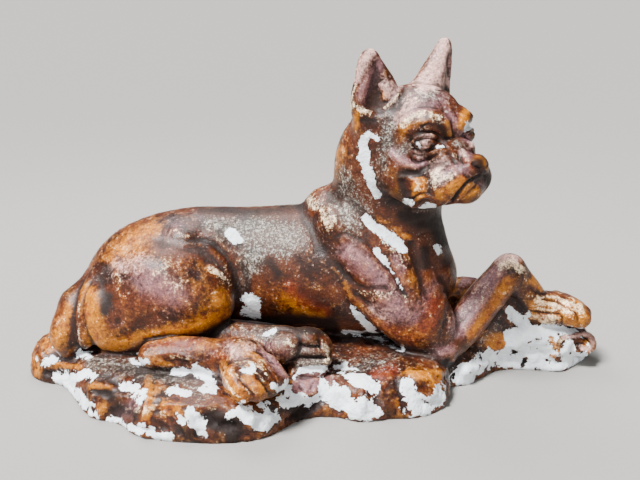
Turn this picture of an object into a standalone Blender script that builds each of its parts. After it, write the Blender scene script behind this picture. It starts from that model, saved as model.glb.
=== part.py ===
"""Cast plaster figurine of a lying dog on a rock base, one solid.

The dog lies along X with its head at +X, its right side towards -Y, and its
face turned towards the viewer at -Y.  The base stands on Z = 0, and the
origin is the middle of the underside's bounding box.

The figure is a free form.  Its pose, proportions and carving are written on
a carver's grid of GRID_CELLS cells along the figure, so every form is a
share of FIGURE_LENGTH.
"""

import math

import bmesh
import bpy
import numpy as np
from mathutils import Matrix, Vector

# sizes (m)
FIGURE_LENGTH = 0.464        # base's rear lip to the tip of the front paw
BASE_THICKNESS = 0.027       # rock under the dog, whatever the figure's length
GRID_CELLS = 464             # the carver's grid along that length
GRID = FIGURE_LENGTH / GRID_CELLS

# surface quality (grid cells)
VOXEL = 2.2                  # cell of the closed skin drawn over the forms
FILLET_ROUNDS = 7            # smoothing rounds that blend form into form
KEPT_FACES = 0.056           # share of the skin's faces that is kept
SWELL = 0.8                  # added to every form, as the smoothing wears it down
STATION_STEPS = 3            # in-between stations of each limb

# places (grid cells)
MIDDLE = (1.0, 8.6, 0.0)     # middle of the base's outline
HEAD_AT = (75.5, 0.0, 196.5)
HEAD_TURN = -53.0            # degrees towards the viewer
HEAD_NOD = 3.0
DRAWN_TOP = 27.0             # height of the rock's top where the forms are drawn
BASE_TOP = BASE_THICKNESS / GRID
BASE_LEAN = 0.10             # the rock's sides lean in as they rise
BASE_RIM = 7.0               # rounding of the rock's upper edge

# the rock's foot, seen from above, as a smooth closed line
BASE_LINE = [
    (-228, 12), (-215, 0), (-196, -8), (-177, -35), (-162, -56), (-138, -66),
    (-125, -80), (-106, -87), (-78, -91), (-48, -90), (-30, -81), (-7, -59),
    (16, -56), (34, -63), (53, -59), (73, -57), (90, -49), (101, -29),
    (106, -10), (122, -5), (132, 5), (150, 20), (171, 22), (200, 18),
    (213, 28), (226, 40), (230, 58), (226, 76), (205, 90), (170, 92),
    (130, 97), (90, 104), (40, 108), (-20, 108), (-80, 104), (-140, 97),
    (-185, 80), (-215, 56), (-229, 34),
]

# forms of the body
# Each limb is a row of stations: x, y, z of the middle, then its half sizes
# along x, y and z.  A mass is one such station.
TORSO = [
    (-162, 28, 60, 27, 32, 32), (-137, 31, 79, 38, 42, 42),
    (-100, 33, 88, 40, 45, 45), (-55, 34, 88, 40, 40, 46),
    (-10, 34, 86, 42, 45, 50), (35, 33, 86, 44, 47, 54),
    (72, 31, 84, 37, 42, 52),
]
WITHERS = (10, 30, 122, 22, 26, 30)
NECK = [
    (54, 30, 108, 44, 38, 36), (56, 24, 145, 42, 34, 32),
    (54, 14, 178, 38, 31, 30), (58, 6, 198, 33, 28, 26),
]
BREAST = (92, 22, 82, 18, 16, 20)
BUTTOCK = [(-184, 10, 52, 18, 20, 26), (-172, 22, 70, 20, 22, 24)]
SIT_BONE = (-192, -1, 42, 13, 13, 18)
FAR_HAUNCH = (-120, 62, 60, 56, 28, 38)
NEAR_HAUNCH = [
    (-147, 3, 57, 34, 26, 33), (-114, 0, 73, 38, 28, 41),
    (-87, -5, 74, 27, 22, 31),
]
HIP = (-98, 8, 112, 15, 10, 11)
NEAR_HOCK = [
    (-113, -32, 38, 12, 12, 12), (-90, -35, 38, 13, 12, 12.5),
    (-68, -42, 40, 15, 13, 14), (-50, -54, 41, 17, 16, 16),
]
FAR_HOCK = [
    (-75, -4, 44, 14, 12, 13), (-40, -22, 47, 15, 12, 14),
    (-22, -28, 47, 15, 12, 15),
]
SOLE = [(-2, -30, 45, 18, 12, 18), (-22, -39, 44, 13, 8, 13)]
SOLE_TOES = [(60, 4), (51, 8), (42, 9), (33, 7)]      # height, x of each toe
NEAR_SHOULDER = [
    (26, 6, 122, 24, 17, 26), (54, 0, 88, 31, 22, 32),
    (80, -2, 56, 27, 20, 26), (92, 4, 36, 20, 18, 14),
]
FAR_SHOULDER = [
    (40, 62, 112, 26, 17, 26), (60, 66, 84, 30, 20, 32),
    (84, 66, 52, 24, 18, 22),
]
NEAR_FOREARM = [
    (96, 0, 31, 18, 16, 14), (116, 8, 44, 15, 14, 16),
    (134, 15, 65, 14, 14, 16), (153, 21, 86, 13, 13, 14),
]
NEAR_PASTERN = [
    (154, 21, 85, 13, 13, 13), (166, 26, 72, 12, 13, 12),
    (178, 31, 56, 12, 13, 12),
]
FAR_FOREARM = [
    (100, 68, 42, 20, 16, 18), (132, 64, 50, 16, 14, 15),
    (162, 58, 38, 15, 13, 13), (186, 48, 27, 14, 13, 12),
]
ROCK_UNDER_PAWS = [
    (140, 36, 28, 22, 22, 18), (170, 40, 30, 24, 24, 14),
    (198, 44, 24, 20, 26, 12),
]
ROCK_UNDER_WRIST = (152, 32, 46, 20, 14, 26)

# forms of the head, in its own frame: forward, left, up
SKULL = (-3, 0, 6, 35, 32, 31)
FOREHEAD = (10, 0, 13, 22, 23, 20)
JAW = (14, 0, -30, 30, 24, 17)
CHEEK = (2, 24, -20, 22, 13, 20)
JOWL = (20, 19, -30, 18, 11, 15)
MUZZLE = [(20, 0, -8, 16, 19, 15), (40, 0, -15, 14, 17, 14)]
BROW = [
    (28, 7, 13, 7, 7, 6), (25.5, 16, 16.5, 8, 8, 5.5), (16, 24, 12, 8, 6, 6),
]
EYE = (22.5, 18.5, 4.5, 8, 9.5, 7)
LIP = [
    (51, 7, -18, 9, 10, 9), (46, 13, -22, 11, 11, 12),
    (37, 17, -28, 12, 10, 14), (28, 19, -34, 10, 8, 11),
]
NOSE = (54, 0, -11.5, 9, 11, 7.5)
CHIN = (47, 0, -33, 13, 13, 10)
EAR_ROOT = (-13, 28, 24)
NEAR_EAR_OPEN = 33.0         # degrees that an ear's cup faces outwards
FAR_EAR_OPEN = 14.0
NEAR_EAR = [
    (-2, 0, -20, 13, 16, 12), (0, -2, 0, 12, 18.5, 12),
    (1, -4.5, 15, 9, 14, 10), (2, -8, 28, 6.5, 8.5, 8),
    (2.5, -9.5, 33, 5.5, 6, 6),
]
FAR_EAR = [
    (-2, 5, -20, 16, 18, 12), (0, 6, 0, 15, 20, 12),
    (1, 2.5, 15, 11, 15, 10), (2, -1, 28, 7, 8.5, 8),
    (2.5, -2.5, 34, 5.5, 6, 6),
]
EAR_CUP = [
    (14, -3, -4, 9, 11, 10), (11, -5, 10, 8, 9.5, 9),
    (8.5, -7.5, 23, 4.5, 5, 8),
]
FAR_EAR_STRETCH = 1.12       # the far ear stands a little taller

# forms of a paw, in its own frame: forward, left
PAW = [(-22, 0, 4, 14, 13, 12), (-4, 0, 2, 17, 17, 13), (8, 0, -1, 13, 17, 11)]
TOE_ROW = (-14, -5, 5, 14)
MIDDLE_TOE_REACH = 4
PAWS = [                     # place, heading in degrees, size
    ((-42, -62, 40), -52.0, 1.0),
    ((198, 35, 48), 6.0, 1.0),
    ((209, 42, 20), -14.0, 0.86),
]

PLASTER_COLOUR = (0.235, 0.125, 0.070, 1.0)
PLASTER_ROUGHNESS = 0.42


def clear_scene():
    """Remove whatever the scene holds."""
    for thing in list(bpy.data.objects):
        bpy.data.objects.remove(thing, do_unlink=True)


def new_collection(name):
    group = bpy.data.collections.new(name)
    bpy.context.scene.collection.children.link(group)
    return group


def smooth_line(points, steps, closed=False):
    """Points of a Catmull-Rom curve through the given rows of numbers."""
    rows = np.array(points, float)
    if closed:
        rows = np.vstack([rows[-1:], rows, rows[:2]])
    else:
        rows = np.vstack([2 * rows[0] - rows[1], rows, 2 * rows[-1] - rows[-2]])
    line = []
    for a, b, c, d in zip(rows, rows[1:], rows[2:], rows[3:]):
        for t in np.arange(steps) / steps:
            line.append(0.5 * (2 * b + (c - a) * t + (2 * a - 5 * b + 4 * c - d) * t ** 2
                               + (3 * b - a - 3 * c + d) * t ** 3))
    if not closed:
        line.append(rows[-2])
    return line


class Clay:
    """Closed lumps gathered in one mesh, each placed in a carver's frame.

    The rock is placed from the floor, and the dog from the rock's top.
    """

    def __init__(self):
        self.mesh = bmesh.new()
        self.floor = Matrix.Scale(GRID, 4) @ Matrix.Translation(-Vector(MIDDLE))
        self.home = self.floor @ Matrix.Translation((0.0, 0.0, BASE_TOP - DRAWN_TOP))
        self.frame = self.home

    def hull(self, stations):
        """Skin stretched over the ellipsoids of one or more stations."""
        lump = bmesh.new()
        for x, y, z, along_x, along_y, along_z in stations:
            half_sizes = [along_x + SWELL, along_y + SWELL, along_z + SWELL]
            detail = 3 if max(half_sizes) < 20 else 4
            place = Matrix.Translation((x, y, z)) @ Matrix.Diagonal(half_sizes + [1])
            bmesh.ops.create_icosphere(lump, subdivisions=detail, radius=1.0, matrix=place)
        if len(stations) > 1:
            skin = bmesh.ops.convex_hull(lump, input=lump.verts)
            loose = [v for v in skin["geom_interior"] if isinstance(v, bmesh.types.BMVert)]
            bmesh.ops.delete(lump, geom=loose, context="VERTS")
        bmesh.ops.transform(lump, matrix=self.frame, verts=lump.verts)
        bmesh.ops.recalc_face_normals(lump, faces=lump.faces)
        self.take(lump)

    def take(self, lump):
        """Add a finished lump to the mesh."""
        data = bpy.data.meshes.new("lump")
        lump.to_mesh(data)
        lump.free()
        self.mesh.from_mesh(data)
        bpy.data.meshes.remove(data)

    def mass(self, station):
        self.hull([station])

    def limb(self, stations):
        """A tapering limb: hulls over each pair of neighbouring stations."""
        row = smooth_line(stations, STATION_STEPS)
        for one, other in zip(row, row[1:]):
            self.hull([one, other])

    def finish(self, name, group):
        data = bpy.data.meshes.new(name)
        self.mesh.to_mesh(data)
        self.mesh.free()
        body = bpy.data.objects.new(name, data)
        group.objects.link(body)
        return body


def mirrored(station, side):
    """A station of the head moved to its left (1) or right (-1) side."""
    return (station[0], side * station[1]) + tuple(station[2:])


def add_rock(clay):
    """The base: rings of its outline, drawn in and roughened as they rise."""
    line = np.array(smooth_line(BASE_LINE, 5, closed=True))
    count = len(line)
    turn = np.arange(count) / count * 2 * math.pi
    ahead = np.roll(line, -1, 0) - np.roll(line, 1, 0)
    outward = np.stack([ahead[:, 1], -ahead[:, 0]], 1)
    outward /= np.linalg.norm(outward, axis=1)[:, None]
    lump = bmesh.new()
    rings = []
    for share, draw_in in ((-0.22, 0.0), (0.11, 0.0), (0.33, 0.5), (0.56, 0.0),
                           (0.74, 0.1 * BASE_RIM), (0.92, 0.4 * BASE_RIM), (1.0, BASE_RIM)):
        height = share * BASE_TOP
        crag = 1.8 * np.sin(13 * turn + height / 5) * np.sin(29 * turn - height / 4)
        inward = draw_in + BASE_LEAN * max(height, 0.0) - crag * (0.0 < height < BASE_TOP)
        ring = [lump.verts.new((x, y, height)) for x, y in line - outward * np.reshape(inward, (-1, 1))]
        rings.append([lump.edges.new((a, b)) for a, b in zip(ring, ring[1:] + ring[:1])])
    for lower, upper in zip(rings, rings[1:]):
        bmesh.ops.bridge_loops(lump, edges=lower + upper)
    for ring in (rings[0], rings[-1]):
        bmesh.ops.triangle_fill(lump, use_beauty=True, edges=ring)
    bmesh.ops.transform(lump, matrix=clay.floor, verts=lump.verts)
    bmesh.ops.recalc_face_normals(lump, faces=lump.faces)
    clay.take(lump)


def add_paw(clay, place, heading, size):
    """A paw with four toes, each a hull from knuckle to tip."""
    clay.frame = (clay.home @ Matrix.Translation(place)
                  @ Matrix.Rotation(math.radians(heading), 4, "Z") @ Matrix.Scale(size, 4))
    clay.limb(PAW)
    for y in TOE_ROW:
        reach = MIDDLE_TOE_REACH if abs(y) < max(TOE_ROW) else 0
        clay.hull([(4 + reach, y, 2, 8, 6.5, 9), (16 + reach, 1.05 * y, -3, 8, 6, 8)])
    clay.frame = clay.home


def add_sole(clay):
    """The far hind foot, turned over, with its pad and toes to the viewer."""
    for station in SOLE:
        clay.mass(station)
    for height, x in SOLE_TOES:
        clay.hull([(x - 12, -38, height - 1, 8, 6, 5.2), (x + 2, -38, height, 8, 7, 5.2)])


def head_frame(clay):
    return (clay.home @ Matrix.Translation(HEAD_AT)
            @ Matrix.Rotation(math.radians(HEAD_TURN), 4, "Z")
            @ Matrix.Rotation(math.radians(HEAD_NOD), 4, "Y"))


def ear_frame(clay, side):
    x, y, z = EAR_ROOT
    stretch = FAR_EAR_STRETCH if side > 0 else 1.0
    opening = FAR_EAR_OPEN if side > 0 else -NEAR_EAR_OPEN
    return (head_frame(clay) @ Matrix.Translation((x, side * y, z))
            @ Matrix.Rotation(math.radians(opening), 4, "Z")
            @ Matrix.Diagonal((1.0, -side, stretch, 1.0)))


def add_head(clay):
    clay.frame = head_frame(clay)
    for station in (SKULL, FOREHEAD, JAW, NOSE, CHIN):
        clay.mass(station)
    clay.limb(MUZZLE)
    for side in (-1, 1):
        for station in (CHEEK, JOWL, EYE):
            clay.mass(mirrored(station, side))
        for stations in (BROW, LIP):
            clay.limb([mirrored(station, side) for station in stations])
    for side in (-1, 1):
        clay.frame = ear_frame(clay, side)
        clay.limb(FAR_EAR if side > 0 else NEAR_EAR)
    clay.frame = clay.home


def add_body(clay):
    for station in (WITHERS, BREAST, SIT_BONE, FAR_HAUNCH, HIP, ROCK_UNDER_WRIST):
        clay.mass(station)
    for stations in (TORSO, NECK, BUTTOCK, NEAR_HAUNCH, NEAR_HOCK, FAR_HOCK, NEAR_SHOULDER,
                     FAR_SHOULDER, NEAR_FOREARM, NEAR_PASTERN, FAR_FOREARM, ROCK_UNDER_PAWS):
        clay.limb(stations)
    for place, heading, size in PAWS:
        add_paw(clay, place, heading, size)
    add_sole(clay)


def make_cutter(name, clay, group):
    cutter = clay.finish(name, group)
    cutter.hide_render = True
    cutter.display_type = "WIRE"
    return cutter


def cut_with(body, name, cutter):
    cut = body.modifiers.new(name, "BOOLEAN")
    cut.operation = "DIFFERENCE"
    cut.solver = "EXACT"
    cut.object = cutter


def floor_cutter(group):
    """A block whose top face is Z = 0, which gives a flat underside."""
    block = bmesh.new()
    bmesh.ops.create_cube(block, size=1.0)
    wide = 1.6 * FIGURE_LENGTH
    deep = 0.1 * FIGURE_LENGTH
    place = Matrix.Translation((0, 0, -deep / 2)) @ Matrix.Diagonal((wide, wide, deep, 1))
    bmesh.ops.transform(block, matrix=place, verts=block.verts)
    data = bpy.data.meshes.new("floor_cutter")
    block.to_mesh(data)
    block.free()
    cutter = bpy.data.objects.new("floor_cutter", data)
    group.objects.link(cutter)
    cutter.hide_render = True
    cutter.display_type = "WIRE"
    return cutter


def plaster():
    """Brown varnish over plaster."""
    material = bpy.data.materials.new("varnished_plaster")
    material.use_nodes = True
    shader = material.node_tree.nodes["Principled BSDF"]
    shader.inputs["Base Color"].default_value = PLASTER_COLOUR
    shader.inputs["Roughness"].default_value = PLASTER_ROUGHNESS
    shader.inputs["Metallic"].default_value = 0.0
    material.diffuse_color = PLASTER_COLOUR
    return material


def build():
    clear_scene()
    parts = new_collection("dog_figurine")
    cutters = new_collection("cutters")

    clay = Clay()
    add_rock(clay)
    add_body(clay)
    add_head(clay)
    dog = clay.finish("dog_figurine", parts)
    dog.data.materials.append(plaster())

    cups = Clay()
    for side in (-1, 1):
        cups.frame = ear_frame(cups, side)
        cups.hull(EAR_CUP[:2])
        cups.hull(EAR_CUP[1:])
    cup_skin = make_cutter("ear_cup_cutter", cups, cutters)
    skin = cup_skin.modifiers.new("skin", "REMESH")
    skin.mode = "VOXEL"
    skin.voxel_size = 0.5 * VOXEL * GRID

    skin = dog.modifiers.new("skin", "REMESH")
    skin.mode = "VOXEL"
    skin.voxel_size = VOXEL * GRID
    cut_with(dog, "ear_cups", cup_skin)
    skin = dog.modifiers.new("cut_skin", "REMESH")
    skin.mode = "VOXEL"
    skin.voxel_size = VOXEL * GRID
    blend = dog.modifiers.new("fillets", "SMOOTH")
    blend.factor = 0.5
    blend.iterations = FILLET_ROUNDS
    coarse = dog.modifiers.new("facets", "DECIMATE")
    coarse.ratio = KEPT_FACES
    cut_with(dog, "flat_underside", floor_cutter(cutters))


build()
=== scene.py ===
"""Looks of the plaster figurine: a short-nosed dog lying on a rock base.

The cast is one closed surface.  Its forms are rounded masses melted into each
other as a signed distance (negative inside), drawn out as a skin, refined
where the carving is fine, and then tooled with grooves and ridges.  Colour is
laid on in coats: stain, dust, worn edges, a painted sheen, painted highlights,
painted shade in hollows and under forms, and the flakes where the stain is
gone and white plaster shows, two of which are painted glints in the eye.

Forms are written in the figurine's own grid cells, one cell being
``GRID`` metres, with the middle of the base's outline at ``MIDDLE``.
"""

import logging
import math
from dataclasses import dataclass, field
from enum import Enum
from typing import Any, Callable, Iterator, Sequence

import bpy
import numpy as np
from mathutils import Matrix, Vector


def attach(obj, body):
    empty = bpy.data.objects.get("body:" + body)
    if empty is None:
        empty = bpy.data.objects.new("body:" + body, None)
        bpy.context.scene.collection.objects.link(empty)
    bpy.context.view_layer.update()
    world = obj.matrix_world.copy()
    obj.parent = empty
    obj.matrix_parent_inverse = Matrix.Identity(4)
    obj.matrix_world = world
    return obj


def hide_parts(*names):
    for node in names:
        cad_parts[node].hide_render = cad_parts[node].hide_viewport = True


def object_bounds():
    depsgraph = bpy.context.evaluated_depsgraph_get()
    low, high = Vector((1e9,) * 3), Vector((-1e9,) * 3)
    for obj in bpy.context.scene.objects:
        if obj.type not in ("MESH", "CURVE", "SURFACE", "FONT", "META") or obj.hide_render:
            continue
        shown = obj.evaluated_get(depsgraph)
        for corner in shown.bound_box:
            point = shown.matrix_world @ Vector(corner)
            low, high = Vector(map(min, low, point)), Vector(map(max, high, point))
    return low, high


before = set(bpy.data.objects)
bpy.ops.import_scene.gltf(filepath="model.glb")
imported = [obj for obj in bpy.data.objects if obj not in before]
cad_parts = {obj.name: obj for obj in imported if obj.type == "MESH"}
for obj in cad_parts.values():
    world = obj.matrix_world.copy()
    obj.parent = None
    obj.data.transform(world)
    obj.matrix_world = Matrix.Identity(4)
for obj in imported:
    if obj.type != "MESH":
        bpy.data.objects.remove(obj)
CAD_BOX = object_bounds()

LOG = logging.getLogger("dog_figurine")

FIGURE_LENGTH = 0.464
GRID_CELLS = 464
GRID = FIGURE_LENGTH / GRID_CELLS
MIDDLE = np.array([1.0, 8.6, 0.0])
FAR = 1e3
TINY = 1e-12
FLAKE_SPAN = 8.0

Rows = Sequence[Sequence[float]]


# Array maths


def turned(degrees: Sequence[float]) -> np.ndarray:
    """Rotation about x, then y, then z.

    Args:
        degrees: The three angles.

    Returns:
        A 3 by 3 matrix whose columns are the turned axes.
    """
    rx, ry, rz = np.radians(degrees)
    cx, sx, cy, sy, cz, sz = np.cos(rx), np.sin(rx), np.cos(ry), np.sin(ry), np.cos(rz), np.sin(rz)
    about_x = np.array([[1, 0, 0], [0, cx, -sx], [0, sx, cx]])
    about_y = np.array([[cy, 0, sy], [0, 1, 0], [-sy, 0, cy]])
    about_z = np.array([[cz, -sz, 0], [sz, cz, 0], [0, 0, 1]])
    return about_z @ about_y @ about_x


def smooth_line(points: Rows, steps: int, closed: bool = False) -> np.ndarray:
    """Catmull-Rom curve through rows of numbers.

    Args:
        points: The rows that the curve passes through.
        steps: New rows for each stretch.
        closed: Whether the last row leads back to the first.

    Returns:
        The rows of the finer line.
    """
    rows = np.array(points, float)
    if not closed and (len(rows) < 3 or steps < 2):
        return rows
    ends = (rows[-1:], rows[:2]) if closed else (2 * rows[:1] - rows[1:2], 2 * rows[-1:] - rows[-2:-1])
    rows = np.vstack([ends[0], rows, ends[1]])
    a, b, c, d = (rows[k:len(rows) - 3 + k, None, :] for k in range(4))
    t = (np.arange(steps) / steps)[None, :, None]
    bend, twist = 2 * a - 5 * b + 4 * c - d, 3 * b - a - 3 * c + d
    line = 0.5 * (2 * b + (c - a) * t + bend * t ** 2 + twist * t ** 3)
    line = line.reshape(-1, rows.shape[1])
    return line if closed else np.vstack([line, rows[-2:-1]])


def smoothstep(value: np.ndarray, low: float, high: float) -> np.ndarray:
    """0 at low, 1 at high, and an S-shaped rise between."""
    t = np.clip((value - low) / (high - low), 0.0, 1.0)
    return t * t * (3.0 - 2.0 * t)


def melt(a: np.ndarray, b: np.ndarray, reach: float) -> np.ndarray:
    """Smaller of two distances, with a fillet of the given reach where they meet."""
    h = np.maximum(reach - np.abs(a - b), 0.0) / reach
    return np.minimum(a, b) - h * h * reach * 0.25


def ball_distance(offset: np.ndarray, radii: np.ndarray) -> np.ndarray:
    """Nearly the distance to an ellipsoid: k0 (k0 - 1) / k1.

    k0 is the offset's length in radii, and k1 that of the offset over the
    squared radii.

    Args:
        offset: Points as seen from the middle.
        radii: Three half sizes, for all points or for each.

    Returns:
        Distances, negative inside.
    """
    scaled = offset / radii
    k0 = np.sqrt((scaled * scaled).sum(-1))
    k1 = np.sqrt(((scaled / radii) ** 2).sum(-1))
    return k0 * (k0 - 1.0) / np.maximum(k1, 1e-9)


def to_stretch(points: np.ndarray, a: np.ndarray, b: np.ndarray) -> tuple[np.ndarray, np.ndarray]:
    """Distance to a straight stretch, and how far along it the nearest place is.

    The share is that of the foot of the perpendicular, kept from 0 to 1.

    Args:
        points: Points in as many dimensions as the stretch.
        a: Where the stretch starts.
        b: Where it ends.

    Returns:
        The distance of each point, and its share of the stretch.
    """
    way = b - a
    share = np.clip((points - a) @ way / max(way @ way, TINY), 0.0, 1.0)
    return np.linalg.norm(points - a - share[:, None] * way, axis=1), share


def along_line(points: np.ndarray, line: np.ndarray) -> tuple[np.ndarray, np.ndarray]:
    """Distance to a line of stretches, and how far along it.

    Args:
        points: Points in as many dimensions as the line.
        line: The line's corners.

    Returns:
        The distance of each point, and the share of the line's length.
    """
    best = np.full(len(points), FAR)
    share = np.zeros(len(points))
    count = len(line) - 1
    for k, (a, b) in enumerate(zip(line, line[1:])):
        far, t = to_stretch(points, a, b)
        nearer = far < best
        best = np.where(nearer, far, best)
        share = np.where(nearer, (k + t) / count, share)
    return best, share


def outline_distance(points: np.ndarray, outline: np.ndarray) -> np.ndarray:
    """Signed distance to a closed flat outline, negative inside.

    A point is inside where a ray along x crosses the outline an odd number
    of times.

    Args:
        points: Points in the plane.
        outline: The outline's corners.

    Returns:
        The distance of each point.
    """
    best = np.full(len(points), FAR)
    inside = np.zeros(len(points), bool)
    for a, b in zip(outline, np.roll(outline, -1, 0)):
        best = np.minimum(best, to_stretch(points, a, b)[0])
        way = b - a
        crosses = (a[1] > points[:, 1]) != (b[1] > points[:, 1])
        slope = way[0] / way[1] if abs(way[1]) > 1e-9 else 0.0
        inside ^= crosses & (points[:, 0] < a[0] + (points[:, 1] - a[1]) * slope)
    return np.where(inside, -best, best)


def along_trail(pixel: np.ndarray, trail: Rows) -> Iterator[tuple[np.ndarray, np.ndarray]]:
    """Distance to each stretch of a trail, and the trail's radius there.

    Args:
        pixel: Places on the photo's view.
        trail: Places with radii; a single one is drawn out by half a pixel.

    Yields:
        For each stretch, the distance and the radius of each place.
    """
    rows = np.array(trail, float)
    if len(rows) == 1:
        rows = np.vstack([rows, rows + (0.5, 0.0, 0.0)])
    for a, b in zip(rows, rows[1:]):
        far, share = to_stretch(pixel, a[:2], b[:2])
        yield far, a[2] + share * (b[2] - a[2])


def ripple(points: np.ndarray, pitch: float, seed: float) -> np.ndarray:
    """Gentle unevenness: products of sines along turned axes, from -1 to 1.

    Args:
        points: Points in cells.
        pitch: Length of a wave in cells.
        seed: Shifts the waves.

    Returns:
        One value for each point.
    """
    q = points @ turned((31.0 + 17 * seed, 47.0, 23.0 + 29 * seed)) * (2 * math.pi / pitch) + seed
    x, y, z = q.T
    first = np.sin(x + 1.3 * np.sin(y * 0.7)) * np.sin(y + 1.1 * np.sin(z * 0.8))
    second = np.sin(1.9 * z + 1.7 * np.sin(x * 0.6)) * np.sin(1.7 * x + 0.9 * np.sin(y))
    return 0.6 * first + 0.4 * second


# Clay: rounded masses melted together


@dataclass
class Clay:
    """Signed distances at a set of points, changed form by form.

    The forms are given in a frame of the clay's own.
    """

    points: np.ndarray
    depth: np.ndarray
    origin: np.ndarray = field(default_factory=lambda: np.zeros(3))
    axes: np.ndarray = field(default_factory=lambda: np.eye(3))

    def placed(self, origin: Sequence[float], axes: np.ndarray) -> "Clay":
        """The same clay, worked in another frame, whose axes are columns."""
        return Clay(self.points, self.depth, np.asarray(origin, float), axes)

    def near(self, centre: Sequence[float], reach: float) -> np.ndarray:
        """Indices of the points in a box round a place in this frame."""
        middle = self.axes @ np.asarray(centre, float) + self.origin
        return np.nonzero((np.abs(self.points - middle) < reach).all(1))[0]

    def local(self, which: np.ndarray) -> np.ndarray:
        """Those points as this frame sees them."""
        return (self.points[which] - self.origin) @ self.axes

    def change(self, which: np.ndarray, distance: np.ndarray, reach: float, cut: bool) -> None:
        """Melt a form in, or carve it out, at some of the points.

        Args:
            which: Indices of the points.
            distance: The form's distance at them.
            reach: The fillet's reach.
            cut: Whether the form is carved out.
        """
        if cut:
            self.depth[which] = -melt(-self.depth[which], distance, reach)
        else:
            self.depth[which] = melt(self.depth[which], distance, reach)

    def mass(self, station: Sequence[float], reach: float = 6.0, cut: bool = False) -> None:
        """One ellipsoid.

        Args:
            station: x, y, z and its three half sizes.
            reach: Fillet to the rest of the clay.
            cut: Whether it is carved out.
        """
        centre, radii = np.array(station[:3], float), np.array(station[3:], float)
        which = self.near(centre, float(radii.max()) + 3 * reach + 6)
        self.change(which, ball_distance(self.local(which) - centre, radii), reach, cut)

    def limb(self, stations: Rows, reach: float = 6.0, cut: bool = False, steps: int = 5) -> None:
        """A chain of ellipsoids, swept along a smooth line.

        Each point takes the ellipsoid at the nearest share of each stretch,
        measured in the stretch's own mean half sizes.

        Args:
            stations: Rows of x, y, z and three half sizes.
            reach: Fillet to the rest of the clay.
            cut: Whether the chain is carved out.
            steps: Smoothness of the line.
        """
        rows = smooth_line(stations, steps)
        low, high = (rows[:, :3] - rows[:, 3:]).min(0), (rows[:, :3] + rows[:, 3:]).max(0)
        which = self.near((low + high) / 2, float(np.linalg.norm(high - low)) / 2 + 2 * reach + 4)
        points = self.local(which)
        best = np.full(len(which), FAR)
        for a, b in zip(rows, rows[1:]):
            mean = (a[3:] + b[3:]) / 2
            way = (b[:3] - a[:3]) / mean
            t = np.clip(((points - a[:3]) / mean) @ way / max(way @ way, TINY), 0.0, 1.0)[:, None]
            here = ball_distance(points - a[:3] - t * (b[:3] - a[:3]), a[3:] + t * (b[3:] - a[3:]))
            best = np.minimum(best, here)
        self.change(which, best, reach, cut)


# The forms of the figurine


@dataclass(frozen=True)
class RockBase:
    """The rock that the dog lies on."""

    top: float = 27.0
    lean: float = 0.12
    rim: float = 8.0
    line: Rows = (
        (-228, 12), (-215, 0), (-196, -8), (-177, -35), (-162, -56), (-138, -66), (-125, -80), (-106, -87),
        (-78, -91), (-48, -90), (-30, -81), (-7, -59), (16, -56), (34, -63), (53, -59), (73, -57), (90, -49),
        (101, -29), (106, -10), (122, -5), (132, 5), (150, 20), (171, 22), (200, 18), (213, 28), (226, 40),
        (230, 58), (226, 76), (205, 90), (170, 92), (130, 97), (90, 104), (40, 108), (-20, 108), (-80, 104),
        (-140, 97), (-185, 80), (-215, 56), (-229, 34),
    )
    under_paws: Rows = ((140, 36, 28, 22, 22, 18), (170, 40, 30, 24, 24, 14), (198, 44, 24, 20, 26, 12))
    under_wrist: Sequence[float] = (152, 32, 46, 20, 14, 26)
    worked_above: float = 34.0
    crag_height: float = 1.7
    crag_pitch: float = 34.0
    chip_height: float = 1.0
    chip_pitch: float = 15.0
    crag_scale: Sequence[float] = (1, 1, 0.7)
    foot: float = 4.0
    swell: float = 2.5
    roll: float = 2.0
    fall: float = 8.0

    def shape(self, clay: Clay) -> None:
        """Melt the rock in.

        Its side is the outline's distance, leaning in with height and broken
        by crags; its top is a gently uneven floor that falls near the rim.

        Args:
            clay: The clay to work.
        """
        which = np.nonzero(clay.points[:, 2] < self.top + self.worked_above)[0]
        points = clay.points[which]
        outline = smooth_line(self.line, 3, closed=True)
        flat = outline_distance(points[:, :2], outline)
        x, y, z = points.T
        crag = self.crag_height * ripple(points * self.crag_scale, self.crag_pitch, 1.0)
        crag += self.chip_height * ripple(points, self.chip_pitch, 2.0)
        crag = np.where(z < self.foot, crag * np.clip(z / self.foot, 0, 1), crag)
        top = self.top + self.swell * np.sin(x / 17 + 1) * np.sin(y / 15)
        top += self.roll * np.sin(x / 31 + y / 23)
        top -= self.fall * smoothstep(flat, -22.0, 4.0) ** 2
        side = flat + self.lean * np.maximum(z, 0.0) - crag
        body = -melt(-(z - top) * 0.95, -side, self.rim)
        clay.change(which, body, 3.0, cut=False)
        clay.limb(self.under_paws, 8.0)
        clay.mass(self.under_wrist, 6.0)


@dataclass(frozen=True)
class Paw:
    """A paw with four toes, each a short chain from knuckle to tip."""

    place: Sequence[float]
    heading: float
    size: float = 1.0
    toe_row: Sequence[float] = (-14.0, -5.0, 5.0, 14.0)
    middle_reach: float = 4.0
    toe_melt: float = 3.4
    palm_shift: float = 0.0

    def shape(self, clay: Clay) -> None:
        """Melt the paw in at its place, turned to its heading.

        Args:
            clay: The clay to work.
        """
        s = self.size
        clay = clay.placed(self.place, turned((0, 0, self.heading)))
        p = self.palm_shift
        palm = ((-22, 0, 4, 14, 13, 12), (-4, p, 2, 17, 17, 13), (9, 1.4 * p, -1.5, 14, 18.5, 11))
        clay.limb(s * np.array(palm, float), 4.0)
        for y in self.toe_row:
            reach = self.middle_reach if min(self.toe_row) < y < max(self.toe_row) else 0.0
            toe = ((4 + reach, y, 2, 8, 7, 9), (15 + reach, 1.05 * y, -3, 8, 6.5, 8))
            clay.limb(s * np.array(toe, float), self.toe_melt)


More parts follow.
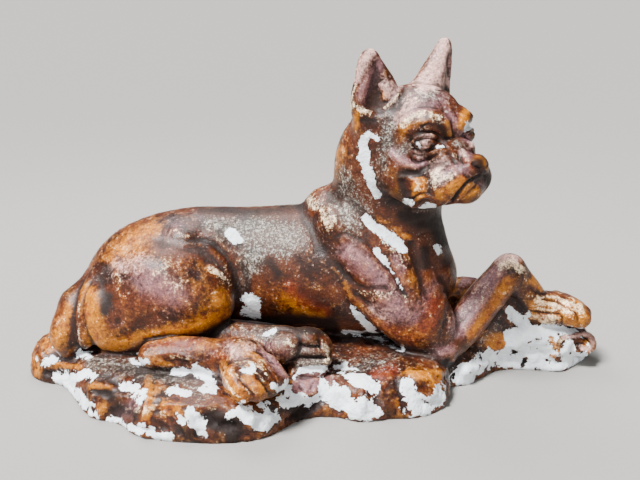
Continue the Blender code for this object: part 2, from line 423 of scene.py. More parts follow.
@dataclass(frozen=True)
class Trunk:
    """Chest, back, rump and neck."""

    torso: Rows = (
        (-162, 28, 60, 27, 32, 32), (-137, 31, 79, 38, 42, 42), (-100, 33, 88, 40, 45, 45),
        (-55, 34, 88, 40, 40, 46), (-10, 34, 86, 42, 45, 50), (35, 33, 86, 44, 47, 54),
        (72, 31, 84, 37, 42, 52),
    )
    withers: Sequence[float] = (10, 30, 122, 22, 26, 30)
    neck: Rows = (
        (54, 30, 108, 44, 38, 36), (56, 24, 145, 42, 34, 32), (54, 14, 178, 38, 31, 30),
        (58, 6, 198, 33, 28, 26),
    )
    breast: Sequence[float] = (94, 22, 82, 18, 16, 22)

    def shape(self, clay: Clay) -> None:
        """Melt the trunk in.

        Args:
            clay: The clay to work.
        """
        clay.limb(self.torso, 8.0)
        clay.mass(self.withers, 6.0)
        clay.limb(self.neck, 12.0)
        clay.mass(self.breast, 8.0)


@dataclass(frozen=True)
class HindQuarters:
    """Both haunches, the near hind leg and the far foot's upturned sole."""

    buttock: Rows = ((-184, 10, 52, 18, 20, 26), (-169, 20, 66, 18, 21, 22))
    sit_bone: Sequence[float] = (-192, -1, 42, 13, 13, 18)
    far_haunch: Sequence[float] = (-120, 62, 60, 56, 28, 38)
    near_haunch: Rows = ((-147, 3, 57, 34, 26, 33), (-114, 0, 73, 38, 28, 41), (-87, -5, 74, 27, 22, 31))
    hip: Sequence[float] = (-98, 8, 112, 15, 10, 11)
    tail: Rows = (
        (-172, 6, 80, 4, 5, 6), (-175, 1, 73, 4, 5, 7), (-176.5, -5, 64, 4, 5, 7), (-176, -9, 54, 4.5, 5, 7),
        (-175, -10, 42, 5.5, 6, 8),
    )
    near_hock: Rows = (
        (-118, -30, 37.5, 12.5, 12, 11), (-97, -33, 40, 14, 12, 13.5), (-70, -42, 41, 15, 13, 14.5),
        (-50, -54, 43, 17, 16, 18),
    )
    near_paw: Paw = Paw((-42, -62, 40), -52.0, toe_row=(-20, -10, 0, 10), palm_shift=-3.0, toe_melt=5.0)
    far_hock: Rows = ((-75, -4, 42, 14, 12, 13), (-40, -22, 44, 15, 12, 14), (-22, -28, 45, 15, 12, 15))
    sole: Sequence[float] = (-5, -30, 43, 19, 12, 17)
    pad: Sequence[float] = (-22.5, -38, 46, 12.5, 8, 11)
    sole_toes: Rows = ((55, -5), (46, 2), (37.5, 4.5), (30, 1))

    def shape(self, clay: Clay) -> None:
        """Melt the hind quarters in.

        Args:
            clay: The clay to work.
        """
        clay.limb(self.buttock, 5.0)
        clay.mass(self.sit_bone, 6.0)
        clay.mass(self.far_haunch, 10.0)
        clay.limb(self.near_haunch, 4.0)
        clay.mass(self.hip, 6.0)
        clay.limb(self.tail, 3.5)
        clay.limb(self.near_hock, 4.0)
        self.near_paw.shape(clay)
        clay.limb(self.far_hock, 4.0)
        clay.mass(self.sole, 4.0)
        clay.mass(self.pad, 1.5)
        for height, x in self.sole_toes:
            clay.limb(((x - 12, -36, height - 1, 8, 7, 5.2), (x + 2, -37, height, 7, 7, 5.4)), 3.4)


@dataclass(frozen=True)
class ForeQuarters:
    """Shoulders, the raised near foreleg and the lying far one."""

    near_shoulder: Rows = (
        (26, 6, 122, 24, 17, 26), (54, 0, 88, 31, 22, 32), (80, -2, 56, 27, 20, 26), (92, 4, 36, 20, 18, 14),
    )
    far_shoulder: Rows = ((40, 62, 112, 26, 17, 26), (60, 66, 84, 30, 20, 32), (84, 66, 52, 24, 18, 22))
    near_forearm: Rows = (
        (96, 0, 31, 18, 16, 14), (116, 8, 44, 15, 14, 16), (134, 15, 65, 14, 14, 16),
        (153, 21, 86, 13, 13, 14),
    )
    near_pastern: Rows = ((154, 21, 85, 13, 13, 13), (166, 26, 72, 12, 13, 12), (178, 31, 56, 12, 13, 12))
    near_paw: Paw = Paw((198, 35, 48), 6.0)
    far_forearm: Rows = (
        (100, 68, 42, 20, 16, 18), (132, 64, 50, 16, 14, 15), (162, 58, 38, 15, 13, 13),
        (186, 48, 27, 14, 13, 12),
    )
    far_paw: Paw = Paw((209, 42, 20), -14.0, 0.86)

    def shape(self, clay: Clay) -> None:
        """Melt the fore quarters in.

        Args:
            clay: The clay to work.
        """
        clay.limb(self.near_shoulder, 5.0)
        clay.limb(self.far_shoulder, 6.0)
        clay.limb(self.near_forearm, 4.0)
        clay.limb(self.near_pastern, 4.0)
        self.near_paw.shape(clay)
        clay.limb(self.far_forearm, 4.0)
        self.far_paw.shape(clay)


@dataclass(frozen=True)
class Ear:
    """A pricked ear: a tapering chain, hollowed from its front.

    The hollow is deep toward the outer rim and runs out toward the inner one.
    """

    side: int
    opening: float
    stretch: float
    rows: Rows
    root: Sequence[float] = (-13.0, 28.0, 24.0)
    cup: Rows = (
        (15, -5, 0, 9, 11, 8), (13.4, -4.5, 8, 8.5, 9, 9), (11.2, -3.5, 18, 6, 6.5, 8),
        (9.4, -3.5, 27, 4, 3.5, 6),
    )
    slope: Rows = ((19, 3, 4, 9, 13, 9), (17, 2.5, 14, 9, 9.5, 9), (13, 0, 24, 6, 5, 7))

    def shape(self, clay: Clay) -> None:
        """Melt the ear in and hollow it.

        Args:
            clay: The clay to work, in the head's frame.
        """
        x, y, z = self.root
        place = clay.origin + clay.axes @ np.array([x, self.side * y, z])
        clay = clay.placed(place, clay.axes @ turned((0, 0, self.opening)))
        scale = np.array([1, -self.side, self.stretch, 1, 1, 1], float)
        clay.limb(np.array(self.rows, float) * scale, 5.0)
        clay.limb(np.array(self.cup, float) * scale, 2.0, cut=True)
        clay.limb(np.array(self.slope, float) * scale, 3.0, cut=True)


@dataclass(frozen=True)
class Head:
    """The head, in its own frame: forward, left, up."""

    place: Sequence[float] = (75.5, 0.0, 196.5)
    turn: float = -53.0
    nod: float = 3.0
    skull: Sequence[float] = (-3, 0, 6, 35, 32, 31)
    forehead: Sequence[float] = (10, 0, 13, 22, 23, 20)
    jaw: Sequence[float] = (14, 0, -30, 30, 24, 17)
    cheek: Sequence[float] = (2, 24, -20, 22, 13, 20)
    jowl: Sequence[float] = (20, 19, -30, 18, 11, 15)
    muzzle: Rows = ((20, 0, -8, 16, 19, 15), (40, 0, -15, 14, 17, 14))
    brow: Rows = ((28, 7, 13, 7, 7, 6), (25.5, 16, 16.5, 8, 8, 5.5), (16, 24, 12, 8, 6, 6))
    eye: Sequence[float] = (25.4, 18.8, 4, 8, 9, 7)
    stop: Sequence[float] = (33, 0, -4, 13, 20, 9)
    lip: Rows = (
        (51, 7, -18, 9, 10, 9), (46, 13, -22, 11, 11, 12), (37, 17, -28, 12, 10, 13), (29, 18, -33, 9, 8, 10),
    )
    nose: Sequence[float] = (54.5, 0, -10.8, 9, 12, 8.5)
    chin: Rows = ((34, 0, -30, 12, 14, 12), (48, 0, -28, 13, 13, 10))
    near_ear: Ear = Ear(-1, -33.0, 1.0, (
        (-2, 0, -20, 13, 16, 12), (0, -2, 0, 12, 18.5, 12), (1, -4.5, 15, 9, 14, 10),
        (2, -8, 26, 6.5, 9, 8), (2.5, -8.5, 31.5, 5.5, 6.6, 6)))
    far_ear: Ear = Ear(1, 14.0, 1.12, (
        (-2, 5, -20, 16, 18, 12), (-1, 9, 0, 15, 22, 12), (0, 5, 13, 11.5, 17, 9),
        (1.5, -0.8, 27, 7.5, 9, 8), (1.8, -2.6, 33.5, 5.3, 5.6, 5.6)))

    def axes(self) -> np.ndarray:
        """The head's forward, left and up, as columns."""
        return turned((0, 0, self.turn)) @ turned((0, self.nod, 0))

    def shape(self, clay: Clay) -> None:
        """Melt the head in, each side's forms being the other's mirrored.

        Args:
            clay: The clay to work.
        """
        clay = clay.placed(self.place, self.axes())
        clay.mass(self.skull, 10.0)
        clay.mass(self.forehead, 8.0)
        for side in (-1, 1):
            clay.mass(self.sided(self.cheek, side), 7.0)
            clay.mass(self.sided(self.jowl, side), 7.0)
        clay.mass(self.jaw, 8.0)
        clay.limb(self.muzzle, 6.0)
        clay.mass(self.stop, 4.0)
        for side in (-1, 1):
            clay.limb([self.sided(row, side) for row in self.brow], 5.0)
            clay.mass(self.sided(self.eye, side), 1.5)
            clay.limb([self.sided(row, side) for row in self.lip], 3.0)
        clay.mass(self.nose, 2.5)
        clay.limb(self.chin, 3.0)
        self.near_ear.shape(clay)
        self.far_ear.shape(clay)

    @staticmethod
    def sided(row: Sequence[float], side: int) -> list[float]:
        """A station moved to the left (1) or right (-1) side."""
        return [row[0], side * row[1], *row[2:]]


@dataclass(frozen=True)
class Dog:
    """The whole cast, as one distance."""

    rock: RockBase = RockBase()
    trunk: Trunk = Trunk()
    hind: HindQuarters = HindQuarters()
    fore: ForeQuarters = ForeQuarters()
    head: Head = Head()
    low: Sequence[float] = (-240.0, -104.0, -8.0)
    high: Sequence[float] = (244.0, 120.0, 280.0)

    def depth(self, points: np.ndarray) -> np.ndarray:
        """Signed distance to the cast, cut flat at the floor.

        Args:
            points: Points in cells.

        Returns:
            The distance of each point, negative inside.
        """
        clay = Clay(points, np.full(len(points), FAR))
        for part in (self.rock, self.trunk, self.hind, self.fore, self.head):
            part.shape(clay)
        return np.maximum(clay.depth, -points[:, 2])


# From distances to a skin


@dataclass
class Skin:
    """A closed surface of triangles, in cells."""

    points: np.ndarray
    triangles: np.ndarray

    @classmethod
    def drawn(cls, dog: Dog, steps: Sequence[float]) -> "Skin":
        """Draw the zero level of the dog's distance.

        The distance is taken on a coarse grid first, and on each finer grid
        only near the surface.  Each cell that the surface crosses gets one
        point, the mean of the crossings on the cell's edges, and each grid
        edge that it crosses gets a quad through its four cells.

        Args:
            dog: The forms.
            steps: Grid steps, each half of the one before.

        Returns:
            The skin.
        """
        low = np.array(dog.low, float)
        span = np.array(dog.high, float) - low
        shape = np.ceil(span / steps[0]).astype(int) + 1
        level = dog.depth(low + np.indices(shape).reshape(3, -1).T * steps[0]).reshape(shape)
        for coarse, step in zip(steps, steps[1:]):
            level = cls.doubled(level)
            close = np.argwhere(np.abs(level) < 1.7 * coarse)
            level[tuple(close.T)] = dog.depth(low + close * step)
        return cls(*cls.netted(level, low, steps[-1]))

    @staticmethod
    def doubled(level: np.ndarray) -> np.ndarray:
        """A grid with a new sample midway between each two.

        Args:
            level: The samples.

        Returns:
            The finer grid.
        """
        for axis in range(3):
            level = np.moveaxis(level, axis, 0)
            fine = np.empty((2 * len(level) - 1, *level.shape[1:]))
            fine[::2] = level
            fine[1::2] = (level[1:] + level[:-1]) / 2
            level = np.moveaxis(fine, 0, axis)
        return level

    @staticmethod
    def netted(level: np.ndarray, low: np.ndarray, step: float) -> tuple[np.ndarray, np.ndarray]:
        """Points and triangles of the zero level of a sampled distance.

        Args:
            level: The samples.
            low: Where the first one lies.
            step: The grid's step.

        Returns:
            The points in cells, and the triangles' corners.
        """
        inside = level < 0
        sizes = np.array(level.shape) - 1
        corners = np.array([(i, j, k) for i in (0, 1) for j in (0, 1) for k in (0, 1)])
        shifted = (inside[i:sizes[0] + i, j:sizes[1] + j, k:sizes[2] + k] for i, j, k in corners)
        count = sum(corner.astype(np.int8) for corner in shifted)
        crossed = (count > 0) & (count < 8)
        cells = np.argwhere(crossed)
        index = np.full(crossed.shape, -1)
        index[crossed] = np.arange(len(cells))
        total = np.zeros((len(cells), 3))
        weight = np.zeros(len(cells))
        for a in corners:
            for axis in np.nonzero(a == 0)[0]:
                b = a + (np.arange(3) == axis)
                at_a, at_b = level[tuple((cells + a).T)], level[tuple((cells + b).T)]
                cut = (at_a < 0) != (at_b < 0)
                t = np.where(cut, at_a / np.where(cut, at_a - at_b, 1.0), 0.0)
                total += (a + t[:, None] * (b - a)) * cut[:, None]
                weight += cut
        points = low + (cells + total / weight[:, None]) * step
        faces = []
        for axis in range(3):
            u, v = (axis + 1) % 3, (axis + 2) % 3
            one, two = [slice(1, -1)] * 3, [slice(1, -1)] * 3
            one[axis], two[axis] = slice(0, -1), slice(1, None)
            first = inside[tuple(one)]
            cut = first != inside[tuple(two)]
            home = np.argwhere(cut) + (np.arange(3) != axis)
            ring = []
            for back_u, back_v in ((1, 1), (0, 1), (0, 0), (1, 0)):
                cell = home.copy()
                cell[:, u] -= back_u
                cell[:, v] -= back_v
                ring.append(index[tuple(cell.T)])
            quad = np.stack(ring, 1)
            quad[~first[cut]] = quad[~first[cut]][:, ::-1]
            faces.append(quad)
        quads = np.vstack(faces)
        return points, np.vstack([quads[:, [0, 1, 2]], quads[:, [0, 2, 3]]])

    def sides(self) -> np.ndarray:
        """Each triangle's three sides in order, as pairs of points."""
        return self.triangles[:, [[0, 1], [1, 2], [2, 0]]].reshape(-1, 2)

    def refine(self, wanted: Callable[[np.ndarray], np.ndarray], rounds: int, slack: float = 1.35) -> None:
        """Split the edges that are longer than wanted.

        Each round gives every such edge a point at its middle, and cuts each
        triangle into two, three or four by the pattern of its split edges.

        Args:
            wanted: Function from points to the edge length wanted there.
            rounds: Most rounds to run.
            slack: How many times the wanted length an edge may have.
        """
        for _ in range(rounds):
            edges, which = np.unique(np.sort(self.sides(), axis=1), axis=0, return_inverse=True)
            ends = self.points[edges]
            middle = ends.mean(1)
            long = np.linalg.norm(ends[:, 0] - ends[:, 1], axis=1) > slack * wanted(middle)
            if not long.any():
                return
            number = np.full(len(edges), -1)
            number[long] = len(self.points) + np.arange(long.sum())
            self.points = np.vstack([self.points, middle[long]])
            mid = number[which.reshape(-1, 3)]
            split = mid >= 0
            count = split.sum(1)
            first = np.where(count == 2, (np.argmin(split, axis=1) + 1) % 3, np.argmax(split, axis=1))
            order = (first[:, None] + (0, 1, 2)) % 3
            a, b, c = np.take_along_axis(self.triangles, order, 1).T
            ab, bc, ca = np.take_along_axis(mid, order, 1).T
            patterns = {
                0: ((a, b, c),),
                1: ((a, ab, c), (ab, b, c)),
                2: ((ab, b, bc), (a, ab, bc), (a, bc, c)),
                3: ((a, ab, ca), (ab, b, bc), (ca, bc, c), (ab, bc, ca)),
            }
            pieces = [np.stack(corner, 1)[count == n] for n, cuts in patterns.items() for corner in cuts]
            self.triangles = np.vstack(pieces)

    def normals(self) -> np.ndarray:
        """Unit normals of the points.

        Each is the sum of its triangles' cross products, made one long.

        Returns:
            One normal for each point.
        """
        a, b, c = (self.points[self.triangles[:, k]] for k in range(3))
        across = np.cross(b - a, c - a)
        total = np.zeros_like(self.points)
        for k in range(3):
            for axis in range(3):
                total[:, axis] += np.bincount(self.triangles[:, k], across[:, axis], len(self.points))
        return total / np.maximum(np.linalg.norm(total, axis=1), TINY)[:, None]

    def averaged(self, values: np.ndarray) -> np.ndarray:
        """Mean of each point's neighbours.

        Args:
            values: One or more columns, a row for each point.

        Returns:
            The means, in the same shape.
        """
        home, next_door = self.sides().T
        flat = values.reshape(len(values), -1)
        count = np.bincount(home, minlength=len(flat))
        total = np.stack([np.bincount(home, column[next_door], len(flat)) for column in flat.T], 1)
        return (total / np.maximum(count, 1)[:, None]).reshape(values.shape)

    def settle(self, dog: Dog, rounds: int, glide: float = 0.6, reach: float = 0.6) -> None:
        """Even out the points along the skin and put them back on the zero level.

        Each point glides toward its neighbours' mean, and then steps along
        the normal by its distance over the distance's slope.

        Args:
            dog: The forms.
            rounds: How often.
            glide: Share of the way to the neighbours' mean.
            reach: How far out the slope is measured, in cells.
        """
        for _ in range(rounds):
            normal = self.normals()
            shift = self.averaged(self.points) - self.points
            shift -= (shift * normal).sum(1)[:, None] * normal
            self.points = self.points + glide * shift
            here = dog.depth(self.points)
            slope = (dog.depth(self.points + reach * normal) - here) / reach
            step = np.clip(-here / np.clip(slope, 0.5, 2.0), -1.5, 1.5)
            self.points = self.points + step[:, None] * normal
            low = self.points[:, 2] < 0.25
            self.points[low, 2] = 0.0


# The photograph's view, used to place carving and coats on the near side


@dataclass(frozen=True)
class PhotoView:
    """The camera fitted to the figurine's outline, in cells and pixels."""

    width: int = 640
    height: int = 480
    focal: float = 800.0
    pitch: float = 17.0
    target: Sequence[float] = (4.5, 0.0, 118.0)
    distance: float = 600.0
    sensor: float = 36.0
    square: int = 4

    def axes(self) -> np.ndarray:
        """Right, up and forward, as columns."""
        c, s = math.cos(math.radians(self.pitch)), math.sin(math.radians(self.pitch))
        return np.array([[1, 0, 0], [0, s, c], [0, c, -s]], float)

    def place(self) -> np.ndarray:
        """Where the camera stands."""
        return np.array(self.target) - self.axes()[:, 2] * self.distance

    def seen_at(self, points: np.ndarray) -> tuple[np.ndarray, np.ndarray]:
        """Where points lie in the picture.

        Across and up, as seen from the camera, are divided by the depth and
        multiplied by the focal length.

        Args:
            points: Points in cells.

        Returns:
            Their pixels, from the frame's upper left corner, and their depth.
        """
        q = (points - self.place()) @ self.axes()
        flat = q[:, :2] / q[:, 2:] * self.focal
        return np.stack([self.width / 2 + flat[:, 0], self.height / 2 - flat[:, 1]], 1), q[:, 2]

    def facing(self, points: np.ndarray, normal: np.ndarray) -> np.ndarray:
        """How far points are turned to the camera.

        Args:
            points: Points in cells.
            normal: Their normals.

        Returns:
            1 face on, 0 turned away.
        """
        toward = self.place() - points
        toward /= np.linalg.norm(toward, axis=1)[:, None]
        return smoothstep((toward * normal).sum(1), 0.0, 0.25)

    def shown(self, skin: Skin, normal: np.ndarray) -> np.ndarray:
        """How plainly each point is seen: 1 face on, 0 turned away or hidden.

        A point is hidden where another is much nearer in the same small
        square of the picture.

        Args:
            skin: The skin.
            normal: Its normals.

        Returns:
            One value for each point.
        """
        pixel, depth = self.seen_at(skin.points)
        squares = np.array((self.width, self.height)) // self.square
        cell = tuple(np.clip((pixel / self.square).astype(int), 0, squares - 1).T)
        nearest = np.full(squares, FAR)
        np.minimum.at(nearest, cell, depth)
        return self.facing(skin.points, normal) * (1.0 - smoothstep(depth - nearest[cell], 12.0, 18.0))

    def make_camera(self) -> None:
        """Set the scene's camera to this view."""
        data = bpy.data.cameras.new("photo_camera")
        data.sensor_width = self.sensor
        data.lens = self.focal / self.width * data.sensor_width
        data.clip_start = 0.01
        camera = bpy.data.objects.new("photo_camera", data)
        camera.location = (self.place() - MIDDLE) * GRID
        camera.rotation_euler = (math.radians(90 - self.pitch), 0.0, 0.0)
        bpy.context.scene.collection.objects.link(camera)
        bpy.context.scene.camera = camera


@dataclass(frozen=True)
class Stroke:
    """A groove, or with a negative depth a ridge, drawn on the photo's view.

    Its line is in pixels, its width in pixels to each side and its depth in
    cells.  On the face it is repeated mirrored on the other half.
    """

    name: str
    line: Rows
    width: float
    depth: float
    blunt: bool = False

    def lift(self, pixel: np.ndarray) -> np.ndarray:
        """Height that the stroke adds: -depth (1 - (d / width)^2)^2.

        d is the distance to the line.  Unless the stroke is blunt, it fades
        toward both ends.

        Args:
            pixel: Places on the photo's view.

        Returns:
            The height at each place, in cells.
        """
        line = smooth_line(self.line, 5)
        low, high = line.min(0) - self.width, line.max(0) + self.width
        which = np.nonzero(((pixel > low) & (pixel < high)).all(1))[0]
        lifted = np.zeros(len(pixel))
        away, share = along_line(pixel[which], line)
        edge = np.clip(1.0 - (away / self.width) ** 2, 0.0, 1.0) ** 2
        fade = 1.0 if self.blunt else np.sqrt(np.clip(np.minimum(share, 1 - share) * 5.0, 0.0, 1.0))
        lifted[which] = -self.depth * edge * fade
        return lifted


FACE_STROKES = (
    Stroke("brow ridge", ((398, 131), (404, 122), (412, 116), (424, 112), (437, 114), (445, 119),
        (449, 127)), 6.0, -1.6),
    Stroke("dip over the brow", ((414, 108), (426, 106), (438, 108), (445, 112)), 5.0, 0.7),
    Stroke("inner brow", ((441, 121), (446, 129), (447, 138)), 7.0, -1.6),
    Stroke("crease under the brow", ((421, 127.5), (426, 125), (430, 124.5), (435, 127)), 2.4, 1.1),
    Stroke("bump under the brow", ((424, 129.5), (428, 129), (432, 129.5)), 2.6, -0.6),
    Stroke("lid crease", ((411, 141.5), (414, 138), (419.5, 134.5), (425, 132.5), (431, 132),
        (437, 134.5), (441, 138)), 2.4, 1.3),
    Stroke("upper lid", ((411, 144), (414.5, 140), (421.5, 136), (428.5, 135), (435.5, 137),
        (441, 140.5)), 2.4, -1.3),
    Stroke("lid edge", ((411.5, 146.5), (417, 141.5), (423.5, 139), (430, 138.5), (437.5, 140),
        (442.5, 143.5)), 1.8, 1.5),
    Stroke("lower lid edge", ((412, 148.4), (418, 149.6), (428.5, 150), (437.5, 147.3),
        (442.5, 144.5)), 1.6, 1.1),
    Stroke("lower lid", ((411, 150.6), (418, 152.6), (428.5, 152.8), (437.5, 150),
        (443.5, 146)), 2.4, -1.0),
    Stroke("bag", ((413, 155.5), (419, 158.2), (426, 156.6), (434, 152.8)), 3.6, -1.4),
    Stroke("bag crease", ((411, 155), (413, 160), (418, 163), (424.5, 160.5), (434, 156),
        (441.5, 151.5)), 2.6, 1.3),
    Stroke("iris", ((425.5, 144), (428, 144), (430.5, 144)), 5.5, -0.8, blunt=True),
    Stroke("eye corner", ((442, 141), (445, 145), (447, 149)), 2.5, 1.2),
    Stroke("furrow", ((438, 97), (445, 108), (451, 118), (456, 129), (457, 138)), 6.0, 1.8),
    Stroke("cheek ridge", ((388, 150), (394, 156), (402, 162), (411, 166.5), (418, 167), (425, 163.5),
        (434, 158.5)), 5.0, -1.6),
    Stroke("under the cheek", ((398, 172), (406, 173.5), (415, 174), (424, 172)), 6.0, 1.6),
    Stroke("cheek hollow", ((402, 178), (405, 188), (409, 197)), 8.0, 2.0),
    Stroke("flew back edge", ((426, 172), (430, 181), (430, 190), (426, 196)), 3.5, 0.5),
    Stroke("flew swell", ((436, 176), (437, 186), (440, 196)), 8.0, -1.2),
    Stroke("flew top", ((448, 170), (456, 171), (464, 172)), 8.0, -0.8),
    Stroke("pouch", ((419, 182), (418, 187), (418, 192)), 7.0, -0.8),
    Stroke("fold", ((411, 208), (415, 203), (419, 199), (424, 196.5), (430, 196.5), (436, 200)), 3.2, -1.8),
    Stroke("fold crease", ((408, 202), (413, 198.5), (418, 194.8), (424, 192.8)), 2.4, 1.0),
    Stroke("mouth", ((446, 206), (452.7, 199.7), (460, 190.6), (466, 183.7), (472, 178.8), (479, 176),
        (485, 177)), 2.0, 1.5, blunt=True),
    Stroke("lower lip", ((453, 204), (460, 196), (467, 188), (474, 182.5)), 3.0, -1.0),
    Stroke("chin streak", ((463, 199), (471, 191), (478, 184)), 3.0, 0.6),
    Stroke("nose top", ((463, 157), (466, 156.5), (470, 156)), 6.0, -1.2),
    Stroke("nose back", ((459, 151), (459, 158), (463, 163.5), (470, 163)), 2.4, 1.0),
    Stroke("nostril", ((472.5, 163.5), (475, 166.5), (479, 168)), 2.6, 1.8, blunt=True),
    Stroke("nose wing", ((470, 160), (476, 161), (481, 164)), 2.0, -0.6),
    Stroke("stop wrinkle", ((452, 147), (458, 148.5), (464, 147.5)), 3.0, 1.0),
    Stroke("muzzle crease", ((446, 152), (452, 158), (456, 165)), 3.5, 0.7),
    Stroke("lip channel", ((481, 168), (480.5, 172), (480, 176)), 1.8, 1.0, blunt=True),
)

CROWN_STROKES = (
    Stroke("near ear lobe", ((381, 83), (384, 91), (387, 100)), 4.5, -1.6),
    Stroke("near ear fold", ((377, 85), (380, 94), (382, 104)), 2.6, 1.2),
    Stroke("near ear seam", ((402, 88), (395, 98), (388, 106), (381, 112)), 2.8, -0.9),
    Stroke("near ear trench", ((394, 94), (389, 100), (384, 106)), 4.0, 0.7),
    Stroke("near ear foot", ((353, 106), (358, 111), (368, 112), (378, 113)), 3.0, -0.9),
    Stroke("under near ear", ((356, 119), (366, 121), (378, 120)), 5.0, 0.7),
    Stroke("near ear tip dent", ((376, 58), (371, 68), (364, 80), (356, 94)), 3.0, 0.9),
    Stroke("far ear edge", ((446, 48), (443, 60), (445, 74), (449, 86)), 4.0, -1.0),
    Stroke("far ear strip", ((450, 52), (448, 64), (449, 78), (452, 90)), 3.0, 0.9),
    Stroke("far ear face", ((436, 62), (432, 72), (428, 80)), 6.0, 0.8),
    Stroke("far ear foot", ((414, 84), (424, 84), (436, 86), (448, 92)), 7.0, 0.6),
)

